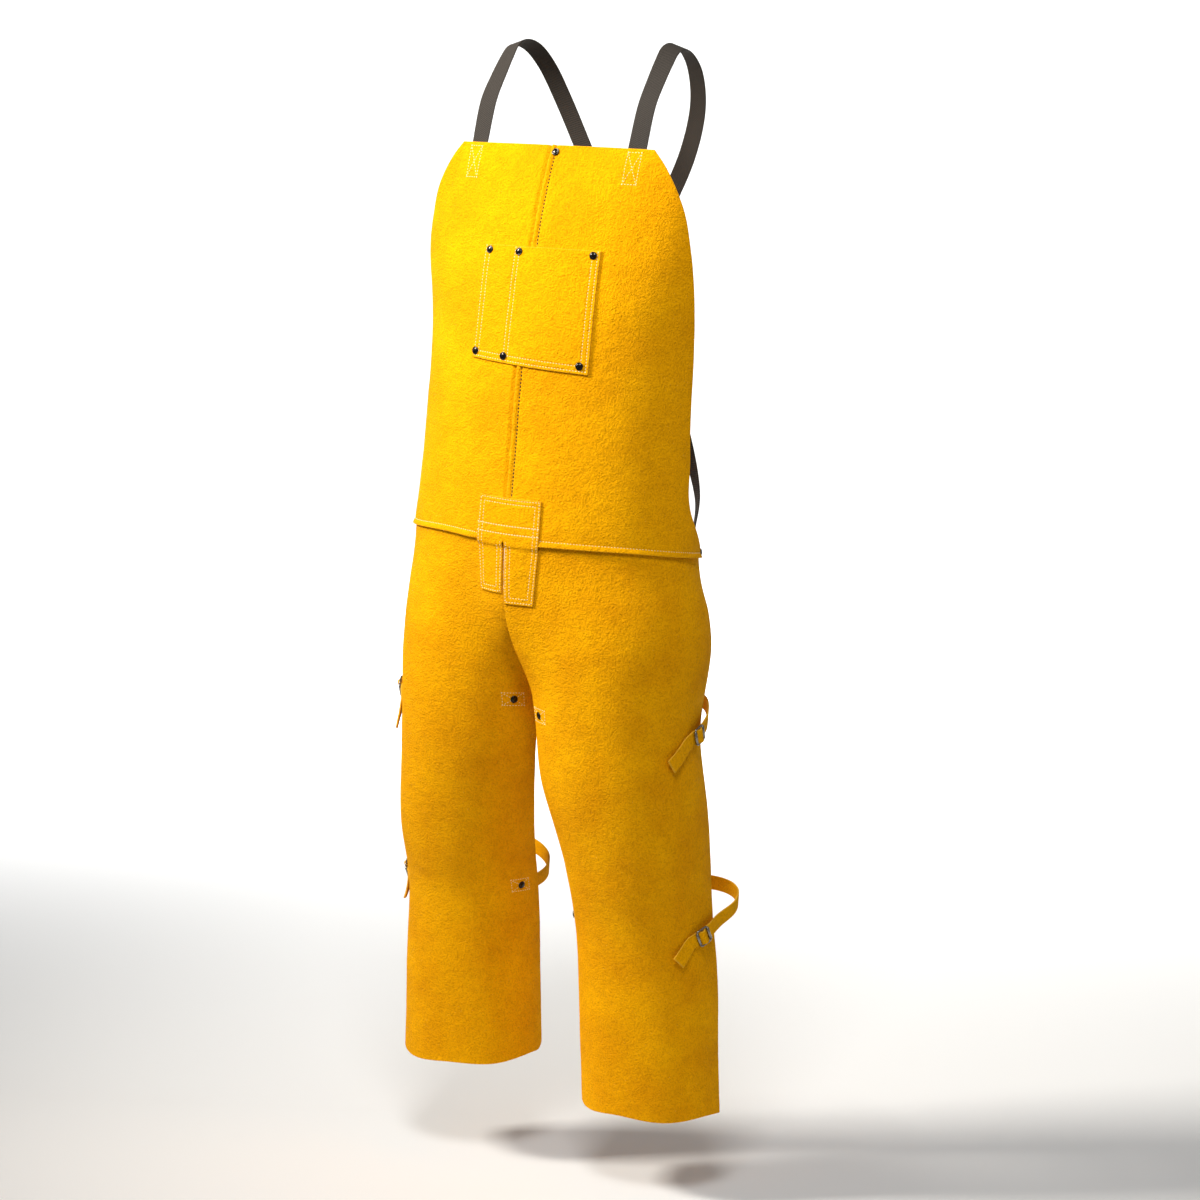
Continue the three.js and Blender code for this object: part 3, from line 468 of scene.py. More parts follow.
def suede(name, color):
    """Split cowhide, brushed on the flesh side: a dull nap that lies in patches, and paler cut edges."""
    made, tree, shader = new_material(name, color, 0.95, specular=0.06)
    shader.inputs["Sheen Weight"].default_value = 0.07
    shader.inputs["Sheen Roughness"].default_value = 0.4
    shader.inputs["Sheen Tint"].default_value = rgba(HIDE_LIGHT)
    spot = add_node(tree, "ShaderNodeTexCoord").outputs["Object"]
    noises = []
    for size, detail, rough in ((CLOUD_SIZE, 3, 0.5), (NAP_SIZE, 4, 0.55), (FIBRE_SIZE, 3, 0.6)):
        inputs = {"Vector": spot, "Scale": 1 / size, "Detail": detail, "Roughness": rough}
        noises.append(add_node(tree, "ShaderNodeTexNoise", inputs).outputs["Fac"])
    cloud, nap, fibre = noises
    rim = add_node(tree, "ShaderNodeAttribute", attribute_name="edge").outputs["Fac"]
    layers = [
        (cloud, 0.32, 0.68, 1, HIDE_LIGHT),
        (nap, 0.55, 0.3, 0.12, HIDE_DARK),
        (fibre, 0.54, 0.36, 0.3, HIDE_DARK),
        (rim, 0.25, 1, 0.75, HIDE_CUT),
    ]
    tree.links.new(layered(tree, rgba(color), layers), shader.inputs["Base Color"])
    inputs = {0: nap, 1: 0.8, 2: fibre}
    height = add_node(tree, "ShaderNodeMath", inputs, operation="MULTIPLY_ADD").outputs["Value"]
    bump = add_node(tree, "ShaderNodeBump", {"Strength": 1.0, "Distance": 0.0026, "Height": height})
    tree.links.new(bump.outputs["Normal"], shader.inputs["Normal"])
    return made


TWILL_SCALE = 130.0  # lines 2.4 mm apart, coarser than real ones so that they show
TWILL_TURN = 0.6  # radians
FUZZ_SIZE = 0.0012


def woven(name, color, dark, fuzzy):
    """Spun webbing: steep twill lines across it, hardly any gloss and a grey fuzz."""
    made, tree, shader = new_material(name, color, 0.8, specular=0.25)
    flat = add_node(tree, "ShaderNodeUVMap", uv_map="flat").outputs["UV"]
    inputs = {"Vector": flat, "Rotation": (0, 0, TWILL_TURN)}
    turned = add_node(tree, "ShaderNodeMapping", inputs).outputs["Vector"]
    inputs = {"Vector": turned, "Scale": TWILL_SCALE, "Distortion": 0.6, "Detail": 1.0}
    twill = add_node(tree, "ShaderNodeTexWave", inputs).outputs["Fac"]
    inputs = {"Value": twill, "From Min": 0.1, "From Max": 0.9}
    yarn = add_node(tree, "ShaderNodeMapRange", inputs).outputs["Result"]
    fuzz = add_node(tree, "ShaderNodeTexNoise", {"Vector": flat, "Scale": 1 / FUZZ_SIZE}).outputs["Fac"]
    body = layered(tree, rgba(dark), [(yarn, 0, 1, 1, color), (fuzz, 0.45, 0.8, 0.35, fuzzy)])
    tree.links.new(body, shader.inputs["Base Color"])
    bump = add_node(tree, "ShaderNodeBump", {"Strength": 0.5, "Distance": 0.0004, "Height": yarn})
    tree.links.new(bump.outputs["Normal"], shader.inputs["Normal"])
    return made


WORN_SIZE = 0.003


def metal(name, color, roughness):
    """Plated steel: drawn, rounded and slightly worn, so its gloss varies a little."""
    made, tree, shader = new_material(name, color, roughness, 1.0)
    spot = add_node(tree, "ShaderNodeTexCoord").outputs["Object"]
    inputs = {"Vector": spot, "Scale": 1 / WORN_SIZE, "Detail": 3}
    worn = add_node(tree, "ShaderNodeTexNoise", inputs).outputs["Fac"]
    least, most = roughness * 0.75, roughness * 1.3
    inputs = {"Value": worn, "From Min": 0.3, "From Max": 0.7, "To Min": least, "To Max": most}
    gloss = add_node(tree, "ShaderNodeMapRange", inputs).outputs["Result"]
    tree.links.new(gloss, shader.inputs["Roughness"])
    return made


LAY_SIZE = 0.0009


def spun(name, color, shade):
    """Heavy sewing thread, waxed and slightly fuzzy, with its lay in shade."""
    made, tree, shader = new_material(name, color, 0.75)
    spot = add_node(tree, "ShaderNodeTexCoord").outputs["Object"]
    lay = add_node(tree, "ShaderNodeTexNoise", {"Vector": spot, "Scale": 1 / LAY_SIZE}).outputs["Fac"]
    tree.links.new(layered(tree, rgba(color), [(lay, 0.35, 0.65, 0.35, shade)]), shader.inputs["Base Color"])
    return made


MATERIALS = {}


def material(name):
    """The apron's materials, each made once."""
    if not MATERIALS:
        own = look()
        MATERIALS["bib"] = suede("split_cowhide_brushed_bib", own.bib_color)
        # The legs' leather is the bib's hide, set a little darker as painted shade on the legs.
        MATERIALS["leg"] = suede("split_cowhide_brushed_leg", own.leg_color)
        MATERIALS["trim"] = suede("split_cowhide_brushed_trim", own.trim_color)
        MATERIALS["webbing"] = woven("spun_twill_webbing", own.web_color, "#1d1916", "#5c554c")
        MATERIALS["steel"] = metal("nickel_plated_steel_wire", own.buckle_color, 0.25)
        MATERIALS["rivet"] = metal("black_nickel_pressed_rivet", own.rivet_color, 0.2)
        MATERIALS["cream"] = spun("cream_sewing_thread", "#fff0b4", "#b98a28")
        MATERIALS["yellow"] = spun("golden_sewing_thread", "#e0b020", "#b98a28")
        # Dark specks at the seam's needle holes: painted shade in the holes.
        MATERIALS["hole"] = new_material("needle_hole_shadow", "#3a2400", 1.0)[0]
    return MATERIALS[name]


# Meshes
def linked(name, data):
    """An object for a mesh, a light or a camera, in the scene."""
    made = bpy.data.objects.new(name, data)
    bpy.context.scene.collection.objects.link(made)
    return made


def riding(made):
    """Smooths a piece that rides on the root body."""
    for face in made.data.polygons:
        face.use_smooth = True
    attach(made, "root")
    return made


def new_piece(name, mesh, material_name, node):
    """An object for a mesh in metres, in the place of its node."""
    mesh.materials.clear()
    mesh.materials.append(material(material_name))
    made = riding(linked(name, mesh))
    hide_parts(node)
    return made


def clean(mesh):
    """Merges doubled points, drops loose ones and turns the faces outwards."""
    work = bmesh.new()
    work.from_mesh(mesh)
    bmesh.ops.remove_doubles(work, verts=work.verts, dist=1e-6)
    bmesh.ops.delete(work, geom=[v for v in work.verts if not v.link_faces], context="VERTS")
    bmesh.ops.recalc_face_normals(work, faces=work.faces)
    work.to_mesh(mesh)
    work.free()
    return mesh


def slab(name, outer, inner, flat, edge):
    """A closed mesh between two grids of points in millimetres, with flat coordinates and an edge mark."""
    n, m = outer.shape[:2]
    top = np.arange(n * m).reshape(n, m)
    quads = []
    for a, turn in ((top, 1), (top + n * m, -1)):
        quads.append(np.stack([a[:-1, :-1], a[1:, :-1], a[1:, 1:], a[:-1, 1:]][::turn], -1).reshape(-1, 4))
    rim = np.concatenate([top[:-1, 0], top[-1, :-1], top[:0:-1, -1], top[0, :0:-1]])
    after = np.roll(rim, -1)
    quads.append(np.stack([after, rim, rim + n * m, after + n * m], -1))
    mesh = bpy.data.meshes.new(name)
    points = np.concatenate([outer.reshape(-1, 3), inner.reshape(-1, 3)]) * MM
    mesh.from_pydata(points.tolist(), [], np.concatenate(quads).tolist())
    uv = np.concatenate([flat.reshape(-1, 2)] * 2)
    corner = np.zeros(len(mesh.loops), int)
    mesh.loops.foreach_get("vertex_index", corner)
    mesh.uv_layers.new(name="flat").data.foreach_set("uv", uv[corner].ravel())
    mark = np.concatenate([edge.ravel()] * 2)
    mesh.attributes.new("edge", "FLOAT", "POINT").data.foreach_set("value", mark)
    return clean(mesh)


AT_RIM = (0.25, 0.6, 1.2, 2.2)
ROUND_ROW = (-3.2, -2.2, -1.3, -0.6, 0, 0.6, 1.3, 2.2, 3.2)
LEAST_STEP = 0.2


def stops(low, high, step, fine=()):
    """Even values with closer ones at both rims and round each value in fine."""
    even = np.linspace(low, high, max(2, int(round((high - low) / step)) + 1))
    extra = [low + d for d in AT_RIM] + [high - d for d in AT_RIM]
    for middle in fine:
        extra += [middle + d for d in ROUND_ROW]
    extra = [v for v in extra if low < v < high]
    values = np.unique(np.round(np.concatenate([even, extra]), 4))
    kept = [values[0]]
    for value in values[1:-1]:
        if value - kept[-1] > LEAST_STEP and values[-1] - value > LEAST_STEP:
            kept.append(value)
    return np.array([*kept, values[-1]])


ROUNDING = 0.9  # reach of a cut edge's rounding


def half_hide():
    """Half the leather's thickness in millimetres."""
    return look().hide_thickness / MM / 2


def hide_sheet(name, placer, arc, above, lift, gap):
    """A hide on a grid of arcs and heights. gap is each point's distance from the nearest cut edge."""
    half = half_hide() * (0.5 + 0.5 * np.sqrt(1 - (1 - np.clip(gap / ROUNDING, 0, 1)) ** 2))
    point, normal = placer(arc, above, lift)
    flat = np.stack([arc, above], -1) * MM
    edge = 1 - smoothstep(gap, 0.05, 0.7)
    return slab(name, point + normal * half[..., None], point - normal * half[..., None], flat, edge)


def groove(value, middle, depth=0.55, wide=1.1):
    """The dent that a row of stitches draws into the hide."""
    return -depth * np.exp(-(((value - middle) / wide) ** 2))


def bib_width(above):
    """The bib's half width at a height above the waist."""
    return PANEL_WIDTH * column(BIB["level"], BIB["width"], np.maximum(above, 0) / BIB_LENGTH)


HEM_STITCH = 3.5  # hem stitches above the waist line
HEM_FLARE = 2.2
FLARE_FROM = (36, 50)  # the hem lies close under the patch and is free from there
SEAM_STITCH = 7.0  # seam stitches from the middle line
SEAM_RIDGE = 1.3
RIDGE_FLANK = (3.2, 5.8)
SEAM_DIP = (0.4, 7.5)  # where the right half dips under the left one's fold
SEAM_FOOT = PATCH_ABOVE - 6
NEAR_SEAM = [0, 0.3, 0.8, 1.6, 2.6, 3.8, 5, 5.9, 6.6, 7.2, 7.9, 9, 11]  # points across the seam
BIB_COLUMNS = 82
STEP = 3.2


def bib_lift(arc, above):
    """The bib layer's lift, with its stitched hem standing a little proud."""
    flare = HEM_FLARE * (1 - smoothstep(above, -HEM_BELOW, HEM_STITCH + 2)) * smoothstep(arc, *FLARE_FROM)
    return PLY + flare + groove(above, HEM_STITCH) * (above < HEM_LAP)


def build_bib(name):
    """One half of the bib. The left one's folded edge makes the seam's ridge, the right one dips under it."""
    heights = stops(-HEM_BELOW, BIB_LENGTH, STEP, [HEM_STITCH])
    above = heights[None, :]
    width = bib_width(heights)[None, :]
    start = np.full_like(width, SEAM_GAP / 2)
    near = np.array(NEAR_SEAM)[:, None] + start
    if name == "right":
        start = start - (SEAM_LAP + SEAM_GAP / 2) * smoothstep(above, SEAM_FOOT - 6, SEAM_FOOT + 6)
        tongue = lerp(start, SEAM_GAP / 2, np.linspace(0, 1, 6)[:-1, None])
        near = np.concatenate([tongue, near])
    body = lerp(near[-1:], width - AT_RIM[-1], np.linspace(0, 1, BIB_COLUMNS)[1:, None])
    arc = np.concatenate([near, body, width - np.array(AT_RIM)[-2::-1, None], width])
    above = np.broadcast_to(above, arc.shape)
    lift = bib_lift(arc, above)
    seam = smoothstep(above, SEAM_FOOT - 8, SEAM_FOOT + 8)
    if name == "left":
        ridge = SEAM_RIDGE * (1 - smoothstep(arc, *RIDGE_FLANK)) + groove(arc, SEAM_STITCH, 0.8)
        lift = lift + seam * ridge
    else:
        lift = lift - PLY * seam * (1 - smoothstep(arc, *SEAM_DIP))
    slope = np.abs(np.gradient(bib_width(heights), heights))[None, :]
    side_gap = (width - arc) / np.sqrt(1 + slope**2)
    gap = np.minimum(np.minimum(arc - start, side_gap), np.minimum(above + HEM_BELOW, BIB_LENGTH - above))
    mesh = hide_sheet(f"bib_half_{name}", on_side(name), arc, above, lift, gap)
    made = new_piece(f"bib_half_{name}", mesh, "bib", f"bib_{name}")


def leg_height(name, share, height):
    """A leg panel's height at a share of its width, with the hem's own shape."""
    across = PANEL_WIDTH * share
    corner = HEM_CORNER * (1 - np.sqrt(1 - np.clip(1 - across / HEM_CORNER, 0, 1) ** 2))
    wave = HEM_WAVE * np.sin(2 * np.pi * HEM_WAVES * share)
    tilt = HEM_TILT[name] * smoothstep(share, 0, 0.6)
    return height + (corner + wave - tilt) * np.clip(-height / LEG_LENGTH, 0, 1) ** HEM_RISE


def build_leg(name):
    """One leg panel."""
    share = stops(0, PANEL_WIDTH, STEP)[:, None] / PANEL_WIDTH
    heights = stops(-LEG_LENGTH, HEM_LAP, STEP)[None, :]
    above = leg_height(name, share, heights)
    width = np.where(above > 0, bib_width(above.ravel()).reshape(above.shape), PANEL_WIDTH)
    arc = lerp(SEAM_GAP / 2, width, share)
    gap = np.minimum(arc - SEAM_GAP / 2, width - arc)
    gap = np.minimum(gap, np.minimum(heights + LEG_LENGTH, HEM_LAP - heights))
    mesh = hide_sheet(f"leg_{name}", on_side(name), arc, above, 0.0, gap)
    made = new_piece(f"leg_{name}", mesh, "leg", f"leg_panel_{name}")


def pocket_place(across, up, lift=0.0):
    """A place on the chest pocket, by its own width from the right and its height from the foot."""
    across, up = np.broadcast_arrays(np.asarray(across, float), np.asarray(up, float))
    skew = POCKET_SKEW * (1 - across / POCKET_WIDTH) * (1 - up / POCKET_HEIGHT)
    above = BIB_LENGTH - POCKET_TOP - POCKET_HEIGHT + up + skew
    return place("left", POCKET_SHIFT - POCKET_WIDTH / 2 + across, above, PLY + PLY + lift)


POCKET_ROWS = (3.5, 10.0)  # the two rows of stitches in from the pocket's edge
SLOT = POCKET_WIDTH * 0.318  # middle of the pen slot's two rows
SLOT_ROWS = (SLOT - 3, SLOT + 3)
POCKET_STEP = 2.6
POCKET_FULL = 1.6  # how far the open top stands off the bib
PEN_FULL = 1.2


def pocket_lines():
    """The pocket's rows of stitches, in its own coordinates."""
    top = POCKET_HEIGHT - 2
    lines = []
    for inset in POCKET_ROWS:
        far = POCKET_WIDTH - inset
        lines += [[(inset, top), (inset, inset)], [(far, top), (far, inset)], [(inset, inset), (far, inset)]]
    return lines + [[(across, top), (across, POCKET_ROWS[1])] for across in SLOT_ROWS]


def build_pocket():
    """The chest pocket, dented along its stitches and a little full at its open top."""
    across_rows = [*POCKET_ROWS, *SLOT_ROWS, *(POCKET_WIDTH - v for v in POCKET_ROWS)]
    across = stops(0, POCKET_WIDTH, POCKET_STEP, across_rows)[:, None]
    up = stops(0, POCKET_HEIGHT, POCKET_STEP, POCKET_ROWS)[None, :]
    across, up = np.broadcast_arrays(across, up)
    lift = np.zeros(across.shape)
    for row in across_rows:
        lift = lift + groove(across, row) * smoothstep(up, 2, 5)
    for row in POCKET_ROWS:
        lift = lift + groove(up, row) * smoothstep(across, 2, 5) * smoothstep(POCKET_WIDTH - across, 2, 5)
    inner = POCKET_ROWS[1]
    for low, high, full in ((SLOT, POCKET_WIDTH - inner, POCKET_FULL), (inner, SLOT, PEN_FULL)):
        swell = np.sin(np.pi * np.clip((across - low) / (high - low), 0, 1)) ** 2
        lift = lift + full * swell * smoothstep(up, inner, POCKET_HEIGHT)
    gap = np.minimum(np.minimum(across, POCKET_WIDTH - across), np.minimum(up, POCKET_HEIGHT - up))
    mesh = hide_sheet("pocket", pocket_place, across, up, lift, gap)
    made = new_piece("pocket", mesh, "trim", "chest_pocket")


PATCH_FALL = HIDE + HEM_BELOW
FAR = 99  # a distance beyond every edge's reach


def patch_lift(above):
    """The patch lies on the bib above the waist and steps down on the legs below it."""
    on_bib = -HEM_BELOW - PLY
    return PLY * (1 + smoothstep(above, on_bib - PATCH_FALL, on_bib))


def patch_side(name, above):
    """How far the patch reaches to one side at a height."""
    if name == "right":
        return PATCH_RIGHT + 0 * above
    return PATCH_LEFT * lerp(TAB_TAPER, 1, np.clip(1 + above / TAB_LEFT, 0, 1))


PATCH_ROWS = (2.2, 7.5)  # rows of stitches in from the patch's edge
PATCH_CROSS = (18.5, 8.0)  # heavier rows across it, above the waist line
PATCH_STEP = 2.0
PATCH_COLUMNS = 41
PATCH_RIM = [0.008, 0.02, 0.05, 0.95, 0.98, 0.992]  # more columns at both edges, as shares


def build_patch():
    """The crotch patch with its slit between two tabs."""
    work = bmesh.new()
    for name, foot in (("left", -TAB_LEFT), ("right", -TAB_RIGHT)):
        above = stops(foot, PATCH_ABOVE, PATCH_STEP, [*PATCH_CROSS, PATCH_ABOVE - PATCH_ROWS[1]])[None, :]
        outer = patch_side(name, above)
        inner = SLIT / 2 * (1 - smoothstep(above, -4, -1))
        share = np.unique(np.concatenate([np.linspace(0, 1, PATCH_COLUMNS), PATCH_RIM]))[:, None]
        arc = lerp(inner, outer, share)
        above = np.broadcast_to(above, arc.shape)
        slit_gap = np.where(above < -2, arc - inner, FAR)
        gap = np.minimum(np.minimum(outer - arc, slit_gap), np.minimum(above - foot, PATCH_ABOVE - above))
        lift = patch_lift(above) + sum(groove(above, row, 0.5) for row in PATCH_CROSS)
        for row in PATCH_ROWS:
            for distance in (outer - arc, PATCH_ABOVE - above, above - foot, slit_gap):
                lift = lift + groove(distance, row, 0.45)
        work.from_mesh(hide_sheet(f"patch_{name}", on_side(name), arc, above, lift, gap))
    bmesh.ops.remove_doubles(work, verts=work.verts, dist=1e-5)
    mesh = bpy.data.meshes.new("patch")
    work.to_mesh(mesh)
    work.free()
    made = new_piece("patch", mesh, "trim", "crotch_patch")
    area = PATCH_LEFT * (PATCH_ABOVE + TAB_LEFT * (1 + TAB_TAPER) / 2)
    area += PATCH_RIGHT * (PATCH_ABOVE + TAB_RIGHT) - SLIT / 2 * (TAB_LEFT + TAB_RIGHT)


# Straps
def through(points, step):
    """Points on a centripetal Catmull-Rom curve, with as many in each stretch as step says."""
    points = np.array(points)
    ends = np.vstack([2 * points[0] - points[1], points, 2 * points[-1] - points[-2]])
    found = []
    for i in range(len(points) - 1):
        p = ends[i : i + 4]
        d = np.maximum(np.sqrt(np.linalg.norm(np.diff(p, axis=0), axis=1)), 1e-4)
        t1 = ((p[1] - p[0]) / d[0] - (p[2] - p[0]) / (d[0] + d[1]) + (p[2] - p[1]) / d[1]) * d[1]
        t2 = ((p[2] - p[1]) / d[1] - (p[3] - p[1]) / (d[1] + d[2]) + (p[3] - p[2]) / d[2]) * d[1]
        parts = step[i]
        for t in np.arange(parts) / parts:
            bend = (2 * t**3 - 3 * t**2 + 1) * p[1] + (3 * t**2 - 2 * t**3) * p[2]
            found.append(bend + (t**3 - 2 * t**2 + t) * t1 + (t**3 - t**2) * t2)
    return np.array([*found, points[-1]])


def stations(places, step):
    """Even points and outward directions through places."""
    points = [p for p, _ in places]
    parts = [max(1, int(round(np.linalg.norm(b - a) / step))) for a, b in zip(points, points[1:])]
    return through(points, parts), unit(through([n for _, n in places], parts))


def one(name, arc, above, lift):
    """A single place."""
    point, normal = place(name, [arc], [above], lift)
    return point[0], normal[0]


def strap_place(side, row, y, z):
    """A place on a shoulder strap's free route."""
    out, _, _, pitch, splay = row
    pitch, splay = np.radians(pitch), np.radians(splay)
    normal = np.array([side * np.sin(splay), -np.cos(pitch) * np.cos(splay), np.sin(pitch) * np.cos(splay)])
    return np.array([side * STRAP_SPREAD * out, y, z]), normal


def shoulder_route(name):
    """The shoulder strap's places, from behind the bib over the shoulder to the other end of the waist."""
    side = SIDES[name]
    tucked = (STRAP_TUCK, STRAP_TUCK / 2, 0)
    places = [one(name, STRAP_SPREAD, BIB_LENGTH - below, PLY + UNDER - PLY_GAP) for below in tucked]
    front = WAIST_FRONT + CHEST_LEAN
    places += [strap_place(side, row, front * row[1], -BIB_DROP * row[2]) for row in STRAP_FRONT]
    foot = []
    for turn, up in STRAP_FOOT:
        foot.append(one(OTHER[name], PANEL_WIDTH - WAIST_RIVET_IN + turn, WAIST_RIVET_UP + up, WAIST_UNDER))
    for row in STRAP_BACK:
        rise = smoothstep(row[2], *CROSSING[:2]) * (1 - smoothstep(row[2], *CROSSING[2:]))
        lift = CROSS_LIFT * rise if name == "left" else 0
        places.append(strap_place(side, row, BACK_DEPTH * row[1] + lift, foot[1][0][2] * row[2]))
    return places + foot


# Places across a strap, as shares of half its width
ACROSS = np.array([-1, -0.985, -0.94, -0.86, -0.6, -0.3, 0, 0.3, 0.6, 0.86, 0.94, 0.985, 1])
STRAP_ROUNDING = 0.8


def ribbon(name, points, normals, width, thickness):
    """A flat strap along stations with rounded edges."""
    along = unit(np.gradient(points, axis=0))
    across = unit(np.cross(along, normals))
    out = unit(np.cross(across, along))
    rim = width / 2 * (1 - np.abs(ACROSS))
    half = thickness / 2 * (0.45 + 0.55 * np.sqrt(1 - (1 - np.clip(rim / STRAP_ROUNDING, 0, 1)) ** 2))
    middle = points[:, None] + across[:, None] * (ACROSS * width / 2)[None, :, None]
    length = np.concatenate([[0], np.cumsum(np.linalg.norm(np.diff(points, axis=0), axis=1))])
    end = np.minimum(length, length[-1] - length)[:, None]
    gap = np.minimum(rim[None, :], end)
    half = half[None, :, None] + 0 * middle[..., :1]
    flat = np.stack(np.broadcast_arrays(length[:, None], (ACROSS * width / 2)[None, :]), -1) * MM
    edge = 1 - smoothstep(gap, 0.15, 1.0)
    return slab(name, middle + out[:, None] * half, middle - out[:, None] * half, flat, edge)


def build_shoulder_strap(name):
    """One webbing strap."""
    points, normals = stations(shoulder_route(name), 6)
    mesh = ribbon(f"webbing_{name}", points, normals, WEB_WIDTH, WEB)
    new_piece(f"webbing_{name}", mesh, "webbing", f"shoulder_strap_{name}")


def buckle_seat(name, row):
    """The buckle's middle, its outward direction, the strap's direction and its place on the panel."""
    arc, above = PANEL_WIDTH - BUCKLE_IN[name], -LEG_LENGTH * row["buckle"]
    point, normal = one(name, arc, above, BUCKLE_STAND)
    feel = np.array([above + FEEL, above - FEEL])
    high, low = form_point(name, np.array([arc, arc]), feel)
    up = unit(high - low)
    around = np.cross(up, normal) * -SIDES[name]
    fall, turn = np.radians(row["slope"]), np.radians(BUCKLE_TURN)
    flat = unit(around * np.cos(fall) - up * np.sin(fall))
    along = flat * np.cos(turn) - normal * np.sin(turn)
    out = normal * np.cos(turn) + flat * np.sin(turn)
    return point, out, along, arc, above


def edge_climb(name, row):
    """How far the strap climbs from the buckle's middle to the panel's outer edge."""
    return BUCKLE_IN[name] * np.sin(np.radians(row["slope"]))


def behind_leg(name, row, share):
    """Where a leg strap passes behind the leg."""
    side = SIDES[name]
    height = lerp(row["rivet"], row["buckle"], share)
    leg = LEGS[name]
    own = (float(column(leg["level"], leg[key], height)[0]) for key in ("out", "back", "radius", "turn"))
    out, back, radius, turn = own
    radius *= LEG_RADIUS
    half = PANEL_WIDTH / 2 / radius
    angle = np.radians(turn) - half - share * 2 * (np.pi - half)
    swell = np.sin(np.pi * share**LATE)
    bulge = CALF_RISE * row["calf"] * swell
    reach = radius + lerp(STRAP_IN, STRAP_OUT, share) + bulge
    normal = np.array([side * np.sin(angle), -np.cos(angle), 0])
    climb = row["arch"] * STRAP_WIDTH * swell + share * edge_climb(name, row)
    z = form_point(name, np.array([PANEL_WIDTH / 2]), np.array([-LEG_LENGTH * height]))[0, 2] + climb
    middle = np.array([side * STANCE * out, LEG_FRONT + LEG_SWING * back, z])
    point = middle + normal * reach
    if side * (point[0] - middle[0]) < 0:
        squeeze = min(1, (side * middle[0] - THIGH_GAP) / (radius + bulge))
        point[0] = lerp(middle[0], point[0], squeeze)
    return point, normal


def leg_strap_line(name, row):
    """Stations of a leg strap: from its rivet behind the leg, woven through the buckle, to its free end."""
    level, rivet = -LEG_LENGTH * row["rivet"], RIVET_IN * row["inset"][name]
    middle, out, along, arc, above = buckle_seat(name, row)

    def on_buckle(distance):
        near = abs(distance) < BAR_SPACING
        rise = WEAVE * (1 + np.cos(np.pi * distance / BAR_SPACING)) if near else 0
        return middle + along * distance + out * rise, out

    places = [one(name, a, level, STRAP_IN) for a in (rivet + STRAP_END, rivet, rivet / 2, SEAM_GAP)]
    places += [behind_leg(name, row, share) for share in np.arange(1, 10) / 10]
    places.append(one(name, PANEL_WIDTH, above + edge_climb(name, row), BUCKLE_STAND + STRAP_OUT))
    places.append(on_buckle(-BUCKLE_REACH))
    slope = np.radians(row["slope"])
    arc -= BUCKLE_REACH * np.cos(slope)
    above -= BUCKLE_REACH * np.sin(slope)
    tail = [on_buckle(BUCKLE_REACH)]
    free = TAIL * row["tail"]
    for distance in free * np.arange(1, 6) / 5:
        turned = float(smoothstep(distance, 0, TAIL_TURN))
        heading = np.radians(lerp(row["slope"], row["droop"] + TAIL_HANG[name], turned))
        arc -= free / 5 * np.cos(heading)
        above -= free / 5 * np.sin(heading)
        tail.append(one(name, arc, above, STRAP_OUT + TAIL_RISE * (distance / free) ** 2))
    weave = [on_buckle(d) for d in np.linspace(-BUCKLE_REACH, BUCKLE_REACH, 33)[1:-1]]
    lead, woven_part, free_end = stations(places, 4), list(zip(*weave)), stations(tail, 3)
    return tuple(np.concatenate([lead[k], np.array(woven_part[k]), free_end[k]]) for k in (0, 1))


def build_leg_strap(name, at):
    """One leather leg strap."""
    points, normals = leg_strap_line(name, LEG_STRAPS[at])
    label = f"{name}_{at}"
    mesh = ribbon(f"strap_{label}", points, normals, STRAP_WIDTH, STRAP_HIDE)
    new_piece(f"strap_{label}", mesh, "trim", f"leg_strap_{label}")


WIRE_SIDES = 12
END_SHARE = 0.55  # a bar's end against its radius


def tube(points, radius, ring_normal, closed):
    """Points and faces of a round wire along a flat path."""
    sides = WIRE_SIDES
    if closed:
        along = unit(np.roll(points, -1, 0) - np.roll(points, 1, 0))
    else:
        along = unit(np.gradient(points, axis=0))
    side = np.cross(along, ring_normal)
    angle = 2 * np.pi * np.arange(sides) / sides
    circle = side[:, None] * np.cos(angle)[None, :, None] + ring_normal * np.sin(angle)[None, :, None]
    scale = np.ones(len(points))
    if not closed:
        scale[[0, -1]] = END_SHARE
    made = points[:, None] + circle * radius * scale[:, None, None]
    index = np.arange(len(points) * sides).reshape(len(points), sides)
    after = np.roll(index, -1, 0) if closed else index[1:]
    here = index if closed else index[:-1]
    faces = np.stack([here, after, np.roll(after, -1, 1), np.roll(here, -1, 1)], -1).reshape(-1, 4).tolist()
    if not closed:
        faces += [index[0].tolist(), index[-1][::-1].tolist()]
    return made.reshape(-1, 3), faces


CORNER_POWER = 0.28  # lower is squarer
BAR_SHARE = 0.92  # the middle bar against the frame's wire
ROLLER_IN = 2.2  # a roller's end from the frame's outer side


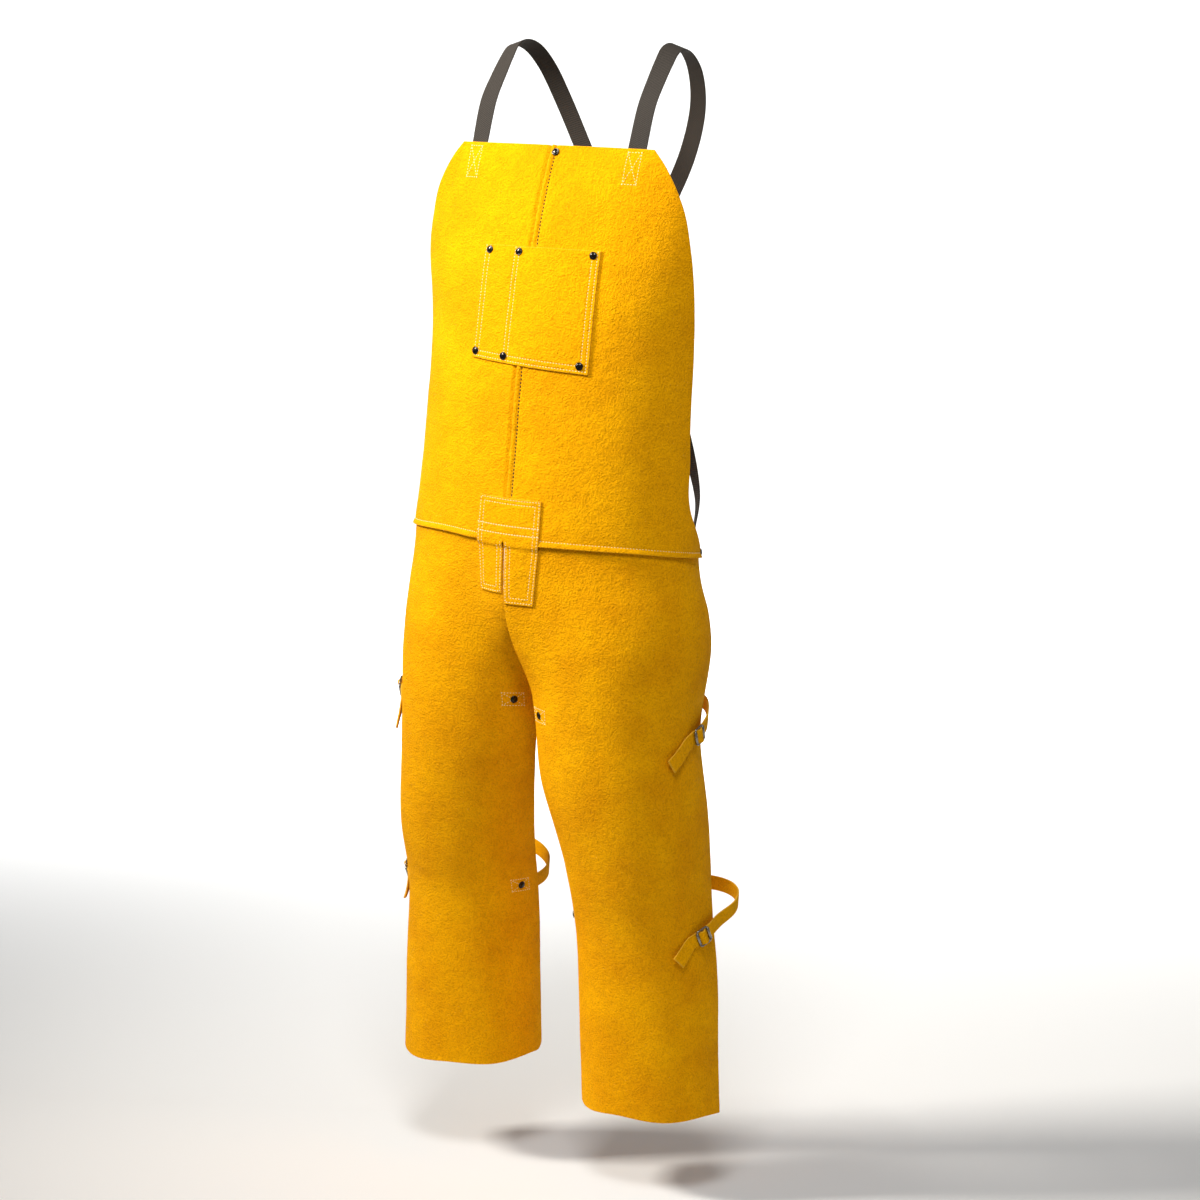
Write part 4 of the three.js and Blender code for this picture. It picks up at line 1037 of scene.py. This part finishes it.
def build_buckle(name, at):
    """One strap buckle: a rounded wire frame with a middle bar and two rollers on its long sides."""
    middle, out, along, _, _ = buckle_seat(name, LEG_STRAPS[at])
    middle = middle + out * WEAVE
    across = np.cross(out, along)
    wire = BUCKLE_WIRE / 2
    x, y = BAR_SPACING, BUCKLE_HEIGHT / 2 - wire
    turn = np.linspace(0, 2 * np.pi, 64, endpoint=False)
    squared = [np.sign(wave(turn)) * np.abs(wave(turn)) ** CORNER_POWER for wave in (np.cos, np.sin)]
    ring = middle + along * (x * squared[0])[:, None] + across * (y * squared[1])[:, None]
    bar = [middle + across * s for s in (-y, -y + 0.6, 0, y - 0.6, y)]
    reach = y - ROLLER_IN
    rollers = []
    for way in (-1, 1):
        ends = (-reach, 0.4 - reach, 0, reach - 0.4, reach)
        rollers.append([middle + along * x * way + across * s for s in ends])
    points, faces, count = [], [], 0
    parts = [(ring, wire, True), (bar, wire * BAR_SHARE, False)]
    parts += [(path, ROLLER / 2, False) for path in rollers]
    for path, radius, closed in parts:
        more, quads = tube(np.array(path), radius, out, closed)
        faces += [[i + count for i in f] for f in quads]
        points.append(more)
        count += len(more)
    label = f"{name}_{at}"
    mesh = bpy.data.meshes.new(f"slide_buckle_{label}")
    mesh.from_pydata((np.concatenate(points) * MM).tolist(), [], faces)
    clean(mesh)
    new_piece(f"slide_buckle_{label}", mesh, "steel", f"buckle_{label}")


# Instances: rivets and stitches
def group_input(tree, name, kind, value=None):
    """A named input of a node group, and its identifier."""
    made = tree.interface.new_socket(name=name, in_out="INPUT", socket_type=kind)
    if value is not None:
        made.default_value = value
    return made.identifier


def run_nodes(made, tree, values):
    """Runs a node group on an object and keeps the result as its plain mesh."""
    modifier = made.modifiers.new(tree.name, "NODES")
    modifier.node_group = tree
    for identifier, value in values.items():
        modifier[identifier] = value
    graph = bpy.context.evaluated_depsgraph_get()
    mesh = bpy.data.meshes.new_from_object(made.evaluated_get(graph))
    made.modifiers.clear()
    made.data = mesh
    return made


def finish_tree(tree, points, shape, rotation, scale, material_input):
    """Instances on points, realized, with the material set."""
    inputs = {"Points": points, "Instance": shape, "Rotation": rotation, "Scale": scale}
    placed = add_node(tree, "GeometryNodeInstanceOnPoints", inputs).outputs["Instances"]
    solid = add_node(tree, "GeometryNodeRealizeInstances", {"Geometry": placed}).outputs["Geometry"]
    inputs = {"Geometry": solid, "Material": material_input}
    done = add_node(tree, "GeometryNodeSetMaterial", inputs).outputs["Geometry"]
    tree.interface.new_socket(name="Geometry", in_out="OUTPUT", socket_type="NodeSocketGeometry")
    add_node(tree, "NodeGroupOutput", {0: done})


UNEVEN = 0.07  # most that a stitch points off its row


def stitch_tree():
    """Short threads along each line, one for each pitch, with a little unevenness from a fixed seed."""
    tree = bpy.data.node_groups.new("stitches", "GeometryNodeTree")
    tree.interface.new_socket(name="Geometry", in_out="INPUT", socket_type="NodeSocketGeometry")
    names = {
        "pitch": group_input(tree, "Pitch", "NodeSocketFloat", 0.004),
        "size": group_input(tree, "Stitch Size", "NodeSocketVector"),
        "seed": group_input(tree, "Seed", "NodeSocketInt", 1),
        "material": group_input(tree, "Material", "NodeSocketMaterial"),
    }
    given = add_node(tree, "NodeGroupInput").outputs
    line = add_node(tree, "GeometryNodeMeshToCurve", {"Mesh": given["Geometry"]}).outputs["Curve"]
    inputs = {"Curve": line, "Length": given["Pitch"]}
    dots = add_node(tree, "GeometryNodeCurveToPoints", inputs, mode="LENGTH").outputs
    inputs = {"Segments": 8, "Rings": 5, "Radius": 1.0}
    ball = add_node(tree, "GeometryNodeMeshUVSphere", inputs).outputs["Mesh"]
    inputs = {0: (-UNEVEN, -UNEVEN, -UNEVEN), 1: (UNEVEN, UNEVEN, UNEVEN), "Seed": given["Seed"]}
    jitter = add_node(tree, "FunctionNodeRandomValue", inputs, data_type="FLOAT_VECTOR").outputs[0]
    inputs = {0: dots["Tangent"], 1: jitter}
    inputs = {"Vector": add_node(tree, "ShaderNodeVectorMath", inputs, operation="ADD").outputs[0]}
    turned = add_node(tree, "FunctionNodeAlignRotationToVector", inputs, axis="X").outputs["Rotation"]
    finish_tree(tree, dots["Points"], ball, turned, given["Stitch Size"], given["Material"])
    return tree, names


def rivet_tree():
    """A copy of the given shape on each point, turned to face along the point's own direction."""
    tree = bpy.data.node_groups.new("rivets", "GeometryNodeTree")
    tree.interface.new_socket(name="Geometry", in_out="INPUT", socket_type="NodeSocketGeometry")
    names = {
        "shape": group_input(tree, "Shape", "NodeSocketObject"),
        "material": group_input(tree, "Material", "NodeSocketMaterial"),
    }
    given = add_node(tree, "NodeGroupInput").outputs
    shape = add_node(tree, "GeometryNodeObjectInfo", {"Object": given["Shape"]}).outputs["Geometry"]
    named = add_node(tree, "GeometryNodeInputNamedAttribute", {"Name": "facing"}, data_type="FLOAT_VECTOR")
    inputs = {"Vector": named.outputs[0]}
    turned = add_node(tree, "FunctionNodeAlignRotationToVector", inputs, axis="Z").outputs["Rotation"]
    finish_tree(tree, given["Geometry"], shape, turned, (1.0, 1.0, 1.0), given["Material"])
    return tree, names


TREES = {}


def tree_named(name, make):
    """A node group, made once."""
    if name not in TREES:
        TREES[name] = make()
    return TREES[name]


def stitch(name, lines, seed, thread="cream", spaced=1.0, size=None):
    """Stitches along lines of points in millimetres, spaced times the usual pitch apart."""
    own = look()
    tree, names = tree_named("stitches", stitch_tree)
    points, edges = [], []
    for line in lines:
        edges += [(len(points) + i, len(points) + i + 1) for i in range(len(line) - 1)]
        points += (np.array(line) * MM).tolist()
    mesh = bpy.data.meshes.new(name)
    mesh.from_pydata(points, edges, [])
    made = linked(name, mesh)
    size = size or (own.stitch_length / 2, own.thread_width / 2, own.thread_width / 2)
    values = {"pitch": own.stitch_pitch * spaced, "size": size, "seed": seed, "material": material(thread)}
    run_nodes(made, tree, {names[k]: v for k, v in values.items()})
    riding(made)


def drawn(points, placer, step=2.0):
    """Points every step along a route of flat coordinates, placed in space."""
    flat = []
    for a, b in zip(points, points[1:]):
        a, b = np.array(a, float), np.array(b, float)
        parts = max(1, int(np.linalg.norm(b - a) / step))
        flat += [lerp(a, b, t) for t in np.arange(parts) / parts]
    flat = np.array([*flat, points[-1]])
    return placer(flat[:, 0], flat[:, 1])


THREAD_SUNK = 0.05  # how deep a thread lies in the hide's face
SEAM_SUNK = 0.65
POCKET_SUNK = 0.45
PATCH_SUNK = 0.3


def on_layer(lift, side=None):
    """A placer for stitches that lie on the hide at a lift."""
    def placer(arc, above):
        top = lift(np.abs(arc), above) if callable(lift) else lift
        height = half_hide() + top - THREAD_SUNK
        return (place_signed(arc, above, height) if side is None else place(side, arc, above, height))[0]
    return placer


def box_with_cross(low, high):
    """The four sides and both diagonals of a stitched box."""
    (x0, y0), (x1, y1) = low, high
    return [[(x0, y0), (x1, y0), (x1, y1), (x0, y1), (x0, y0)], [(x0, y0), (x1, y1)], [(x0, y1), (x1, y0)]]


SEAM_SPACED = 1.15
HOLE_SHADE = (0.0015, 0.0012, 0.0009)  # half sizes in metres of the dark specks that paint the shade in the needle holes
HOLE_SHIFT = 0.15  # share of a step along the seam
SEAM_END = 17  # seam stitches stop below the bib's top
STRAP_BOX = (9, -STRAP_TUCK - 2, -5)  # half width, foot and head of the box on the bib's top
LEG_BOX = (-14, 16, 8.5)  # near side, far side and half height of the box on a leg strap's end
HEAVY = (0.62, 0.75, 0.7)  # half sizes of the patch's crossing stitches, as shares of length, width and width


def seam_rows():
    """The centre seam's stitches, above and below the pocket."""
    foot, head = BIB_LENGTH - POCKET_TOP - POCKET_HEIGHT, BIB_LENGTH - POCKET_TOP
    ends = ((PATCH_ABOVE + 2, foot + 3), (head + 3, BIB_LENGTH - SEAM_END))
    return [drawn([(SEAM_STITCH, low), (SEAM_STITCH, high)], on_layer(PLY - SEAM_SUNK)) for low, high in ends]


def bib_rows():
    """The hem's stitches on both sides of the patch, and the boxes over the shoulder straps' ends."""
    lines = []
    for name, start in (("left", PATCH_LEFT + 2), ("right", PATCH_RIGHT + 2)):
        side = SIDES[name]
        line = [(side * start, HEM_STITCH), (side * (PANEL_WIDTH - 4), HEM_STITCH)]
        lines.append(drawn(line, on_layer(bib_lift)))
    half, foot, head = STRAP_BOX
    for name in SIDES:
        low, high = (STRAP_SPREAD - half, BIB_LENGTH + foot), (STRAP_SPREAD + half, BIB_LENGTH + head)
        lines += [drawn(line, on_layer(PLY, name)) for line in box_with_cross(low, high)]
    return lines


def patch_rows(placer):
    """Two rows round each half of the patch and along its slit."""
    lines = []
    for inset in PATCH_ROWS:
        top = PATCH_ABOVE - inset
        for name, tab in (("left", TAB_LEFT), ("right", TAB_RIGHT)):
            side, foot = SIDES[name], inset - tab
            outer = [(side * (patch_side(name, h) - inset), h) for h in np.linspace(top, foot, 30)]
            slit = side * (SLIT / 2 + inset)
            lines.append(drawn([(0, top), *outer, (slit, foot), (slit, -inset)], placer))
    return lines


def leg_rows():
    """The boxes over the leg straps' ends."""
    near, far, half = LEG_BOX
    lines = []
    for name in SIDES:
        for row in LEG_STRAPS.values():
            arc, level = RIVET_IN * row["inset"][name], -LEG_LENGTH * row["rivet"]
            box = box_with_cross((arc + near, level - half), (arc + far, level + half))
            lines += [drawn(line, on_layer(0, name)) for line in box]
    return lines


def build_stitches():
    """All rows of stitches."""
    own = look()
    seam = seam_rows()
    stitch("seam_thread", seam, 2, "yellow", spaced=SEAM_SPACED)
    # Dark specks between the seam's stitches: painted shade in the needle holes.
    holes = [line[1:] + (line[1:] - line[:-1]) * HOLE_SHIFT for line in seam]
    stitch("seam_needle_holes", holes, 3, "hole", SEAM_SPACED, HOLE_SHADE)
    stitch("bib_stitches", bib_rows(), 4)
    on_pocket = lambda across, up: pocket_place(across, up, half_hide() - POCKET_SUNK)[0]
    stitch("pocket_stitches", [drawn(line, on_pocket) for line in pocket_lines()], 5)
    on_patch = on_layer(lambda arc, above: patch_lift(above) - PATCH_SUNK)
    stitch("patch_stitches", patch_rows(on_patch), 6)
    across = [drawn([(-PATCH_RIGHT + 1.5, h), (PATCH_LEFT - 1.5, h)], on_patch) for h in PATCH_CROSS]
    thread = (own.stitch_length, own.thread_width, own.thread_width)
    heavy = [share * size for share, size in zip(HEAVY, thread)]
    stitch("patch_cross_stitches", across, 7, size=heavy)
    stitch("leg_stitches", leg_rows(), 8)


# Outer head of a rivet: radius and height of its outline
RIVET_PROFILE = [
    (0, 2.1),
    (1.2, 2.05),
    (2.4, 1.85),
    (3.3, 1.5),
    (3.8, 1.15),
    (4.1, 1.3),
    (4.5, 1.25),
    (4.9, 0.8),
    (5.0, 0.2),
    (4.8, -0.4),
    (0, -0.5),
]


# Inner cap and shank of a rivet
CAP_PROFILE = [(0, 0.9), (2.6, 0.85), (3.7, 0.55), (4.1, 0), (1.4, 0), (1.4, -6.6), (0, -6.6)]


def lathe(name, profile, sides=32):
    """A closed turned shape on the Z axis from radii and heights in millimetres."""
    work = bmesh.new()
    turn = 2 * np.pi * np.arange(sides) / sides
    rings = []
    for radius, height in profile:
        around = turn if radius else [0]
        ring = [(radius * np.cos(t), radius * np.sin(t), height) for t in around]
        rings.append([work.verts.new([v * MM for v in point]) for point in ring])
    for a, b in zip(rings, rings[1:]):
        for i in range(sides):
            corners = [a[i % len(a)], a[(i + 1) % len(a)], b[(i + 1) % len(b)], b[i % len(b)]]
            kept = [v for k, v in enumerate(corners) if v not in corners[:k]]
            if len(kept) > 2:
                work.faces.new(kept)
    bmesh.ops.recalc_face_normals(work, faces=work.faces)
    mesh = bpy.data.meshes.new(name)
    work.to_mesh(mesh)
    work.free()
    return mesh


def rivet_places():
    """Each rivet's node, place and direction, and how far from the place its head and its cap sit."""
    found = []
    top = HIDE / 2 + SEAT * 0.3
    for i, (across, up) in enumerate(POCKET_RIVETS):
        point, normal = pocket_place([POCKET_WIDTH * across], [POCKET_HEIGHT * up])
        found.append((f"rivet_pocket_{i + 1}", point[0], normal[0], top, -PLY - HIDE / 2 - SEAT))
    for name in SIDES:
        for at, row in LEG_STRAPS.items():
            point, normal = one(name, RIVET_IN * row["inset"][name], -LEG_LENGTH * row["rivet"], 0)
            found.append((f"rivet_{name}_{at}", point, normal, top, STRAP_IN - STRAP_HIDE / 2 - SEAT))
        point, normal = one(name, PANEL_WIDTH - WAIST_RIVET_IN, WAIST_RIVET_UP, 0)
        found.append((f"rivet_{name}_waist", point, normal, PLY + top, WAIST_UNDER - WEB / 2 - SEAT))
    point, normal = one("left", SEAM_LAP / 2, BIB_LENGTH - BIB_RIVET_DOWN, PLY)
    found.append(("rivet_bib_top", point, normal, top + 0.6, -PLY - HIDE / 2 - SEAT))
    return found


def build_rivets():
    """All rivets: round heads with a dimple outside, flat caps inside, each pair on one shank."""
    tree, names = tree_named("rivets", rivet_tree)
    found = rivet_places()
    heads = [(point + normal * top, normal) for _, point, normal, top, _ in found]
    caps = [(point + normal * low, -normal) for _, point, normal, _, low in found]
    for label, places, profile in (("heads", heads, RIVET_PROFILE), ("caps", caps, CAP_PROFILE)):
        shape = bpy.data.objects.new(f"rivet_shape_{label}", lathe(f"rivet_{label}", profile))
        mesh = bpy.data.meshes.new(f"rivet_{label}")
        mesh.from_pydata([(p * MM).tolist() for p, _ in places], [], [])
        facing = np.array([n for _, n in places], np.float32)
        mesh.attributes.new("facing", "FLOAT_VECTOR", "POINT").data.foreach_set("vector", facing.ravel())
        made = linked(f"rivet_{label}", mesh)
        run_nodes(made, tree, {names["shape"]: shape, names["material"]: material("rivet")})
        riding(made)
        bpy.data.objects.remove(shape)
    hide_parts(*(row[0] for row in found))


# Stage, in metres
FLOOR_Z = -1.48
FLOOR_RADIUS = 9.0
WALL_HEIGHT = 2.6
WALL_BEND = 1.6
FLOOR_SIDES = 96
AIM = (0, -0.1, -0.2)
# Name, spot, target, size, setting of its power, colour and spread in degrees
LIGHTS = [
    ("key", (-2.1, -1.9, 1.5), AIM, 0.8, "key_power", "#fffaf2", 60),
    ("top", (1.0, -2.2, 2.1), AIM, 1.0, "top_power", "#ffffff", 60),
    ("backdrop", (-1.9, 3.2, 1.9), (-3.4, 6.0, -1.4), 4.0, "backdrop_power", "#ffffff", 180),
]
CAMERA_SPOT = (2.2769, -3.8816, -0.0447)
CAMERA_TURN = np.radians(30)
CAMERA_PITCH = np.radians(-8.478)
CAMERA_ROLL = np.radians(2.0)
CAMERA_ANGLE = np.radians(19.519)


def build_camera():
    """The camera where the photograph was taken from."""
    right = Vector((np.cos(CAMERA_TURN), np.sin(CAMERA_TURN), 0))
    back = Vector((np.sin(CAMERA_TURN), -np.cos(CAMERA_TURN), 0))
    up = Vector((0, 0, 1)) * np.cos(CAMERA_PITCH) + back * np.sin(CAMERA_PITCH)
    ahead = Vector((0, 0, 1)) * np.sin(CAMERA_PITCH) - back * np.cos(CAMERA_PITCH)
    rolled_right = right * np.cos(CAMERA_ROLL) + up * np.sin(CAMERA_ROLL)
    rolled_up = up * np.cos(CAMERA_ROLL) - right * np.sin(CAMERA_ROLL)
    data = bpy.data.cameras.new("camera")
    data.angle = CAMERA_ANGLE
    data.clip_end = 60
    made = linked("camera", data)
    turn = Matrix((rolled_right, rolled_up, -ahead)).transposed().to_4x4()
    made.matrix_world = Matrix.Translation(CAMERA_SPOT) @ turn
    bpy.context.scene.camera = made


def area_light(name, spot, target, size, power, color, spread):
    """A square soft light that shines from a spot to a target within a spread in degrees."""
    data = bpy.data.lights.new(name, "AREA")
    data.size = size
    data.energy = power
    data.spread = np.radians(spread)
    data.color = linear(color)
    made = linked(name, data)
    made.location = spot
    made.rotation_euler = (Vector(target) - Vector(spot)).to_track_quat("-Z", "Y").to_euler()


def build_backdrop():
    """A pale floor that curves up into a wall on every side."""
    inner = FLOOR_RADIUS - WALL_BEND
    profile = [(2, 0), (4, 0), (inner, 0)]
    for t in np.linspace(0.1, np.pi / 2, 12):
        profile.append((inner + WALL_BEND * np.sin(t), WALL_BEND * (1 - np.cos(t))))
    profile.append((FLOOR_RADIUS, WALL_HEIGHT))
    turn = 2 * np.pi * np.arange(FLOOR_SIDES) / FLOOR_SIDES
    points = [(r * np.cos(t), r * np.sin(t), FLOOR_Z + h) for r, h in profile for t in turn]
    points.append((0, 0, FLOOR_Z))
    faces = []
    for i in range(FLOOR_SIDES):
        j = (i + 1) % FLOOR_SIDES
        faces.append((len(points) - 1, j, i))
        for k in range(len(profile) - 1):
            low, high = k * FLOOR_SIDES, (k + 1) * FLOOR_SIDES
            faces.append((low + i, low + j, high + j, high + i))
    mesh = bpy.data.meshes.new("floor")
    mesh.from_pydata(points, [], faces)
    for face in mesh.polygons:
        face.use_smooth = True
    mesh.materials.append(new_material("pale_matte_floor", stage_look().floor_color, 0.9, specular=0.1)[0])
    linked("floor", mesh)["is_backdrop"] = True


def build_stage():
    """Floor, world, lights and camera."""
    own = stage_look()
    build_camera()
    build_backdrop()
    world = bpy.context.scene.world or bpy.data.worlds.new("world")
    bpy.context.scene.world = world
    world.use_nodes = True
    sky = world.node_tree.nodes["Background"]
    sky.inputs["Color"].default_value = (1, 1, 1, 1)
    sky.inputs["Strength"].default_value = own.world_strength
    for name, spot, target, size, power, color, spread in LIGHTS:
        area_light(name, spot, target, size, getattr(own, power), color, spread)
    bpy.context.scene.view_settings.view_transform = "Standard"
    bpy.context.scene.view_settings.look = "None"


# The add-on's own settings
class ApronLook(bpy.types.PropertyGroup):
    """Sizes and colours of the apron."""

    hide_thickness: bpy.props.FloatProperty(
        name="Hide thickness", description="Thickness of the leather", default=0.0019, unit="LENGTH"
    )
    softness: bpy.props.FloatProperty(
        name="Softness", description="Strength of the leather's soft waves", default=1.0, min=0, max=2
    )
    stitch_pitch: bpy.props.FloatProperty(
        name="Stitch pitch", description="Distance from stitch to stitch", default=0.0039, unit="LENGTH"
    )
    stitch_length: bpy.props.FloatProperty(
        name="Stitch length", description="Length of the thread that shows", default=0.0025, unit="LENGTH"
    )
    thread_width: bpy.props.FloatProperty(
        name="Thread width", description="Thickness of the thread", default=0.0009, unit="LENGTH"
    )
    bib_color: bpy.props.FloatVectorProperty(
        name="Bib colour", description="Leather of the bib", default=linear("#eaa000"), subtype="COLOR"
    )
    # The legs' leather: the same hide as the bib, set a little darker as painted shade on the legs.
    leg_color: bpy.props.FloatVectorProperty(
        name="Leg colour", description="Leather of the legs", default=linear("#e69b00"), subtype="COLOR"
    )
    trim_color: bpy.props.FloatVectorProperty(
        name="Trim colour", description="Leather of the pocket, the patch and the leg straps",
        default=linear("#eea600"), subtype="COLOR",
    )
    web_color: bpy.props.FloatVectorProperty(
        name="Webbing colour", description="Shoulder webbing", default=linear("#3a342e"), subtype="COLOR"
    )
    buckle_color: bpy.props.FloatVectorProperty(
        name="Buckle colour", description="Plated wire", default=linear("#8f8a80"), subtype="COLOR"
    )
    rivet_color: bpy.props.FloatVectorProperty(
        name="Rivet colour", description="Plated rivets", default=linear("#35322f"), subtype="COLOR"
    )


class StageLook(bpy.types.PropertyGroup):
    """Light and floor."""

    key_power: bpy.props.FloatProperty(
        name="Key light", description="Power of the key light", default=25, unit="POWER"
    )
    top_power: bpy.props.FloatProperty(
        name="Top light", description="Power of the top light", default=9, unit="POWER"
    )
    backdrop_power: bpy.props.FloatProperty(
        name="Backdrop light", description="Power of the light on the backdrop", default=420, unit="POWER"
    )
    world_strength: bpy.props.FloatProperty(
        name="World", description="Strength of the plain world", default=0.27
    )
    floor_color: bpy.props.FloatVectorProperty(
        name="Floor colour", description="Colour of the floor", default=(0.86, 0.86, 0.85), subtype="COLOR"
    )


def look():
    """The apron's settings."""
    return bpy.context.scene.apron_look


def stage_look():
    """The stage's settings."""
    return bpy.context.scene.apron_stage


class APRON_OT_bib(bpy.types.Operator):
    """Build both halves of the bib"""

    bl_idname = "apron.bib"
    bl_label = "Bib"

    def execute(self, context):
        for name in SIDES:
            build_bib(name)
        return {"FINISHED"}


class APRON_OT_legs(bpy.types.Operator):
    """Build both leg panels"""

    bl_idname = "apron.legs"
    bl_label = "Leg panels"

    def execute(self, context):
        for name in SIDES:
            build_leg(name)
        return {"FINISHED"}


class APRON_OT_pocket(bpy.types.Operator):
    """Build the chest pocket"""

    bl_idname = "apron.pocket"
    bl_label = "Chest pocket"

    def execute(self, context):
        build_pocket()
        return {"FINISHED"}


class APRON_OT_patch(bpy.types.Operator):
    """Build the crotch patch"""

    bl_idname = "apron.patch"
    bl_label = "Crotch patch"

    def execute(self, context):
        build_patch()
        return {"FINISHED"}


class APRON_OT_shoulder_straps(bpy.types.Operator):
    """Build both shoulder straps"""

    bl_idname = "apron.shoulder_straps"
    bl_label = "Shoulder straps"

    def execute(self, context):
        for name in SIDES:
            build_shoulder_strap(name)
        return {"FINISHED"}


class APRON_OT_leg_straps(bpy.types.Operator):
    """Build the leg straps"""

    bl_idname = "apron.leg_straps"
    bl_label = "Leg straps"

    def execute(self, context):
        for name in SIDES:
            for at in LEG_STRAPS:
                build_leg_strap(name, at)
        return {"FINISHED"}


class APRON_OT_buckles(bpy.types.Operator):
    """Build the buckles"""

    bl_idname = "apron.buckles"
    bl_label = "Buckles"

    def execute(self, context):
        for name in SIDES:
            for at in LEG_STRAPS:
                build_buckle(name, at)
        return {"FINISHED"}


class APRON_OT_rivets(bpy.types.Operator):
    """Build the rivets"""

    bl_idname = "apron.rivets"
    bl_label = "Rivets"

    def execute(self, context):
        build_rivets()
        return {"FINISHED"}


class APRON_OT_stitches(bpy.types.Operator):
    """Build the stitches"""

    bl_idname = "apron.stitches"
    bl_label = "Stitches"

    def execute(self, context):
        build_stitches()
        return {"FINISHED"}


class APRON_OT_stage(bpy.types.Operator):
    """Build the floor, the lights and the camera"""

    bl_idname = "apron.stage"
    bl_label = "Stage"

    def execute(self, context):
        build_stage()
        return {"FINISHED"}


OPERATORS = (
    APRON_OT_bib,
    APRON_OT_legs,
    APRON_OT_pocket,
    APRON_OT_patch,
    APRON_OT_shoulder_straps,
    APRON_OT_leg_straps,
    APRON_OT_buckles,
    APRON_OT_rivets,
    APRON_OT_stitches,
    APRON_OT_stage,
)


class APRON_PT_panel(bpy.types.Panel):
    """The apron's pieces and settings"""

    bl_idname = "APRON_PT_panel"
    bl_label = "Welding apron"
    bl_space_type = "VIEW_3D"
    bl_region_type = "UI"
    bl_category = "Apron"

    def draw(self, context):
        for settings in (context.scene.apron_look, context.scene.apron_stage):
            for name in settings.bl_rna.properties.keys():
                if name not in ("rna_type", "name"):
                    self.layout.prop(settings, name)
        for operator in OPERATORS:
            self.layout.operator(operator.bl_idname)


CLASSES = (ApronLook, StageLook, *OPERATORS, APRON_PT_panel)


def register():
    """Adds the classes and the scene's settings."""
    for made in CLASSES:
        bpy.utils.register_class(made)
    bpy.types.Scene.apron_look = bpy.props.PointerProperty(type=ApronLook)
    bpy.types.Scene.apron_stage = bpy.props.PointerProperty(type=StageLook)


def unregister():
    """Removes them again."""
    del bpy.types.Scene.apron_stage
    del bpy.types.Scene.apron_look
    for made in reversed(CLASSES):
        bpy.utils.unregister_class(made)


def main():
    """Builds the whole scene."""
    register()
    for operator in OPERATORS:
        group, name = operator.bl_idname.split(".")
        getattr(getattr(bpy.ops, group), name)()
    seen = [list(corner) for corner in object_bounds()]


if __name__ == "__main__":
    main()
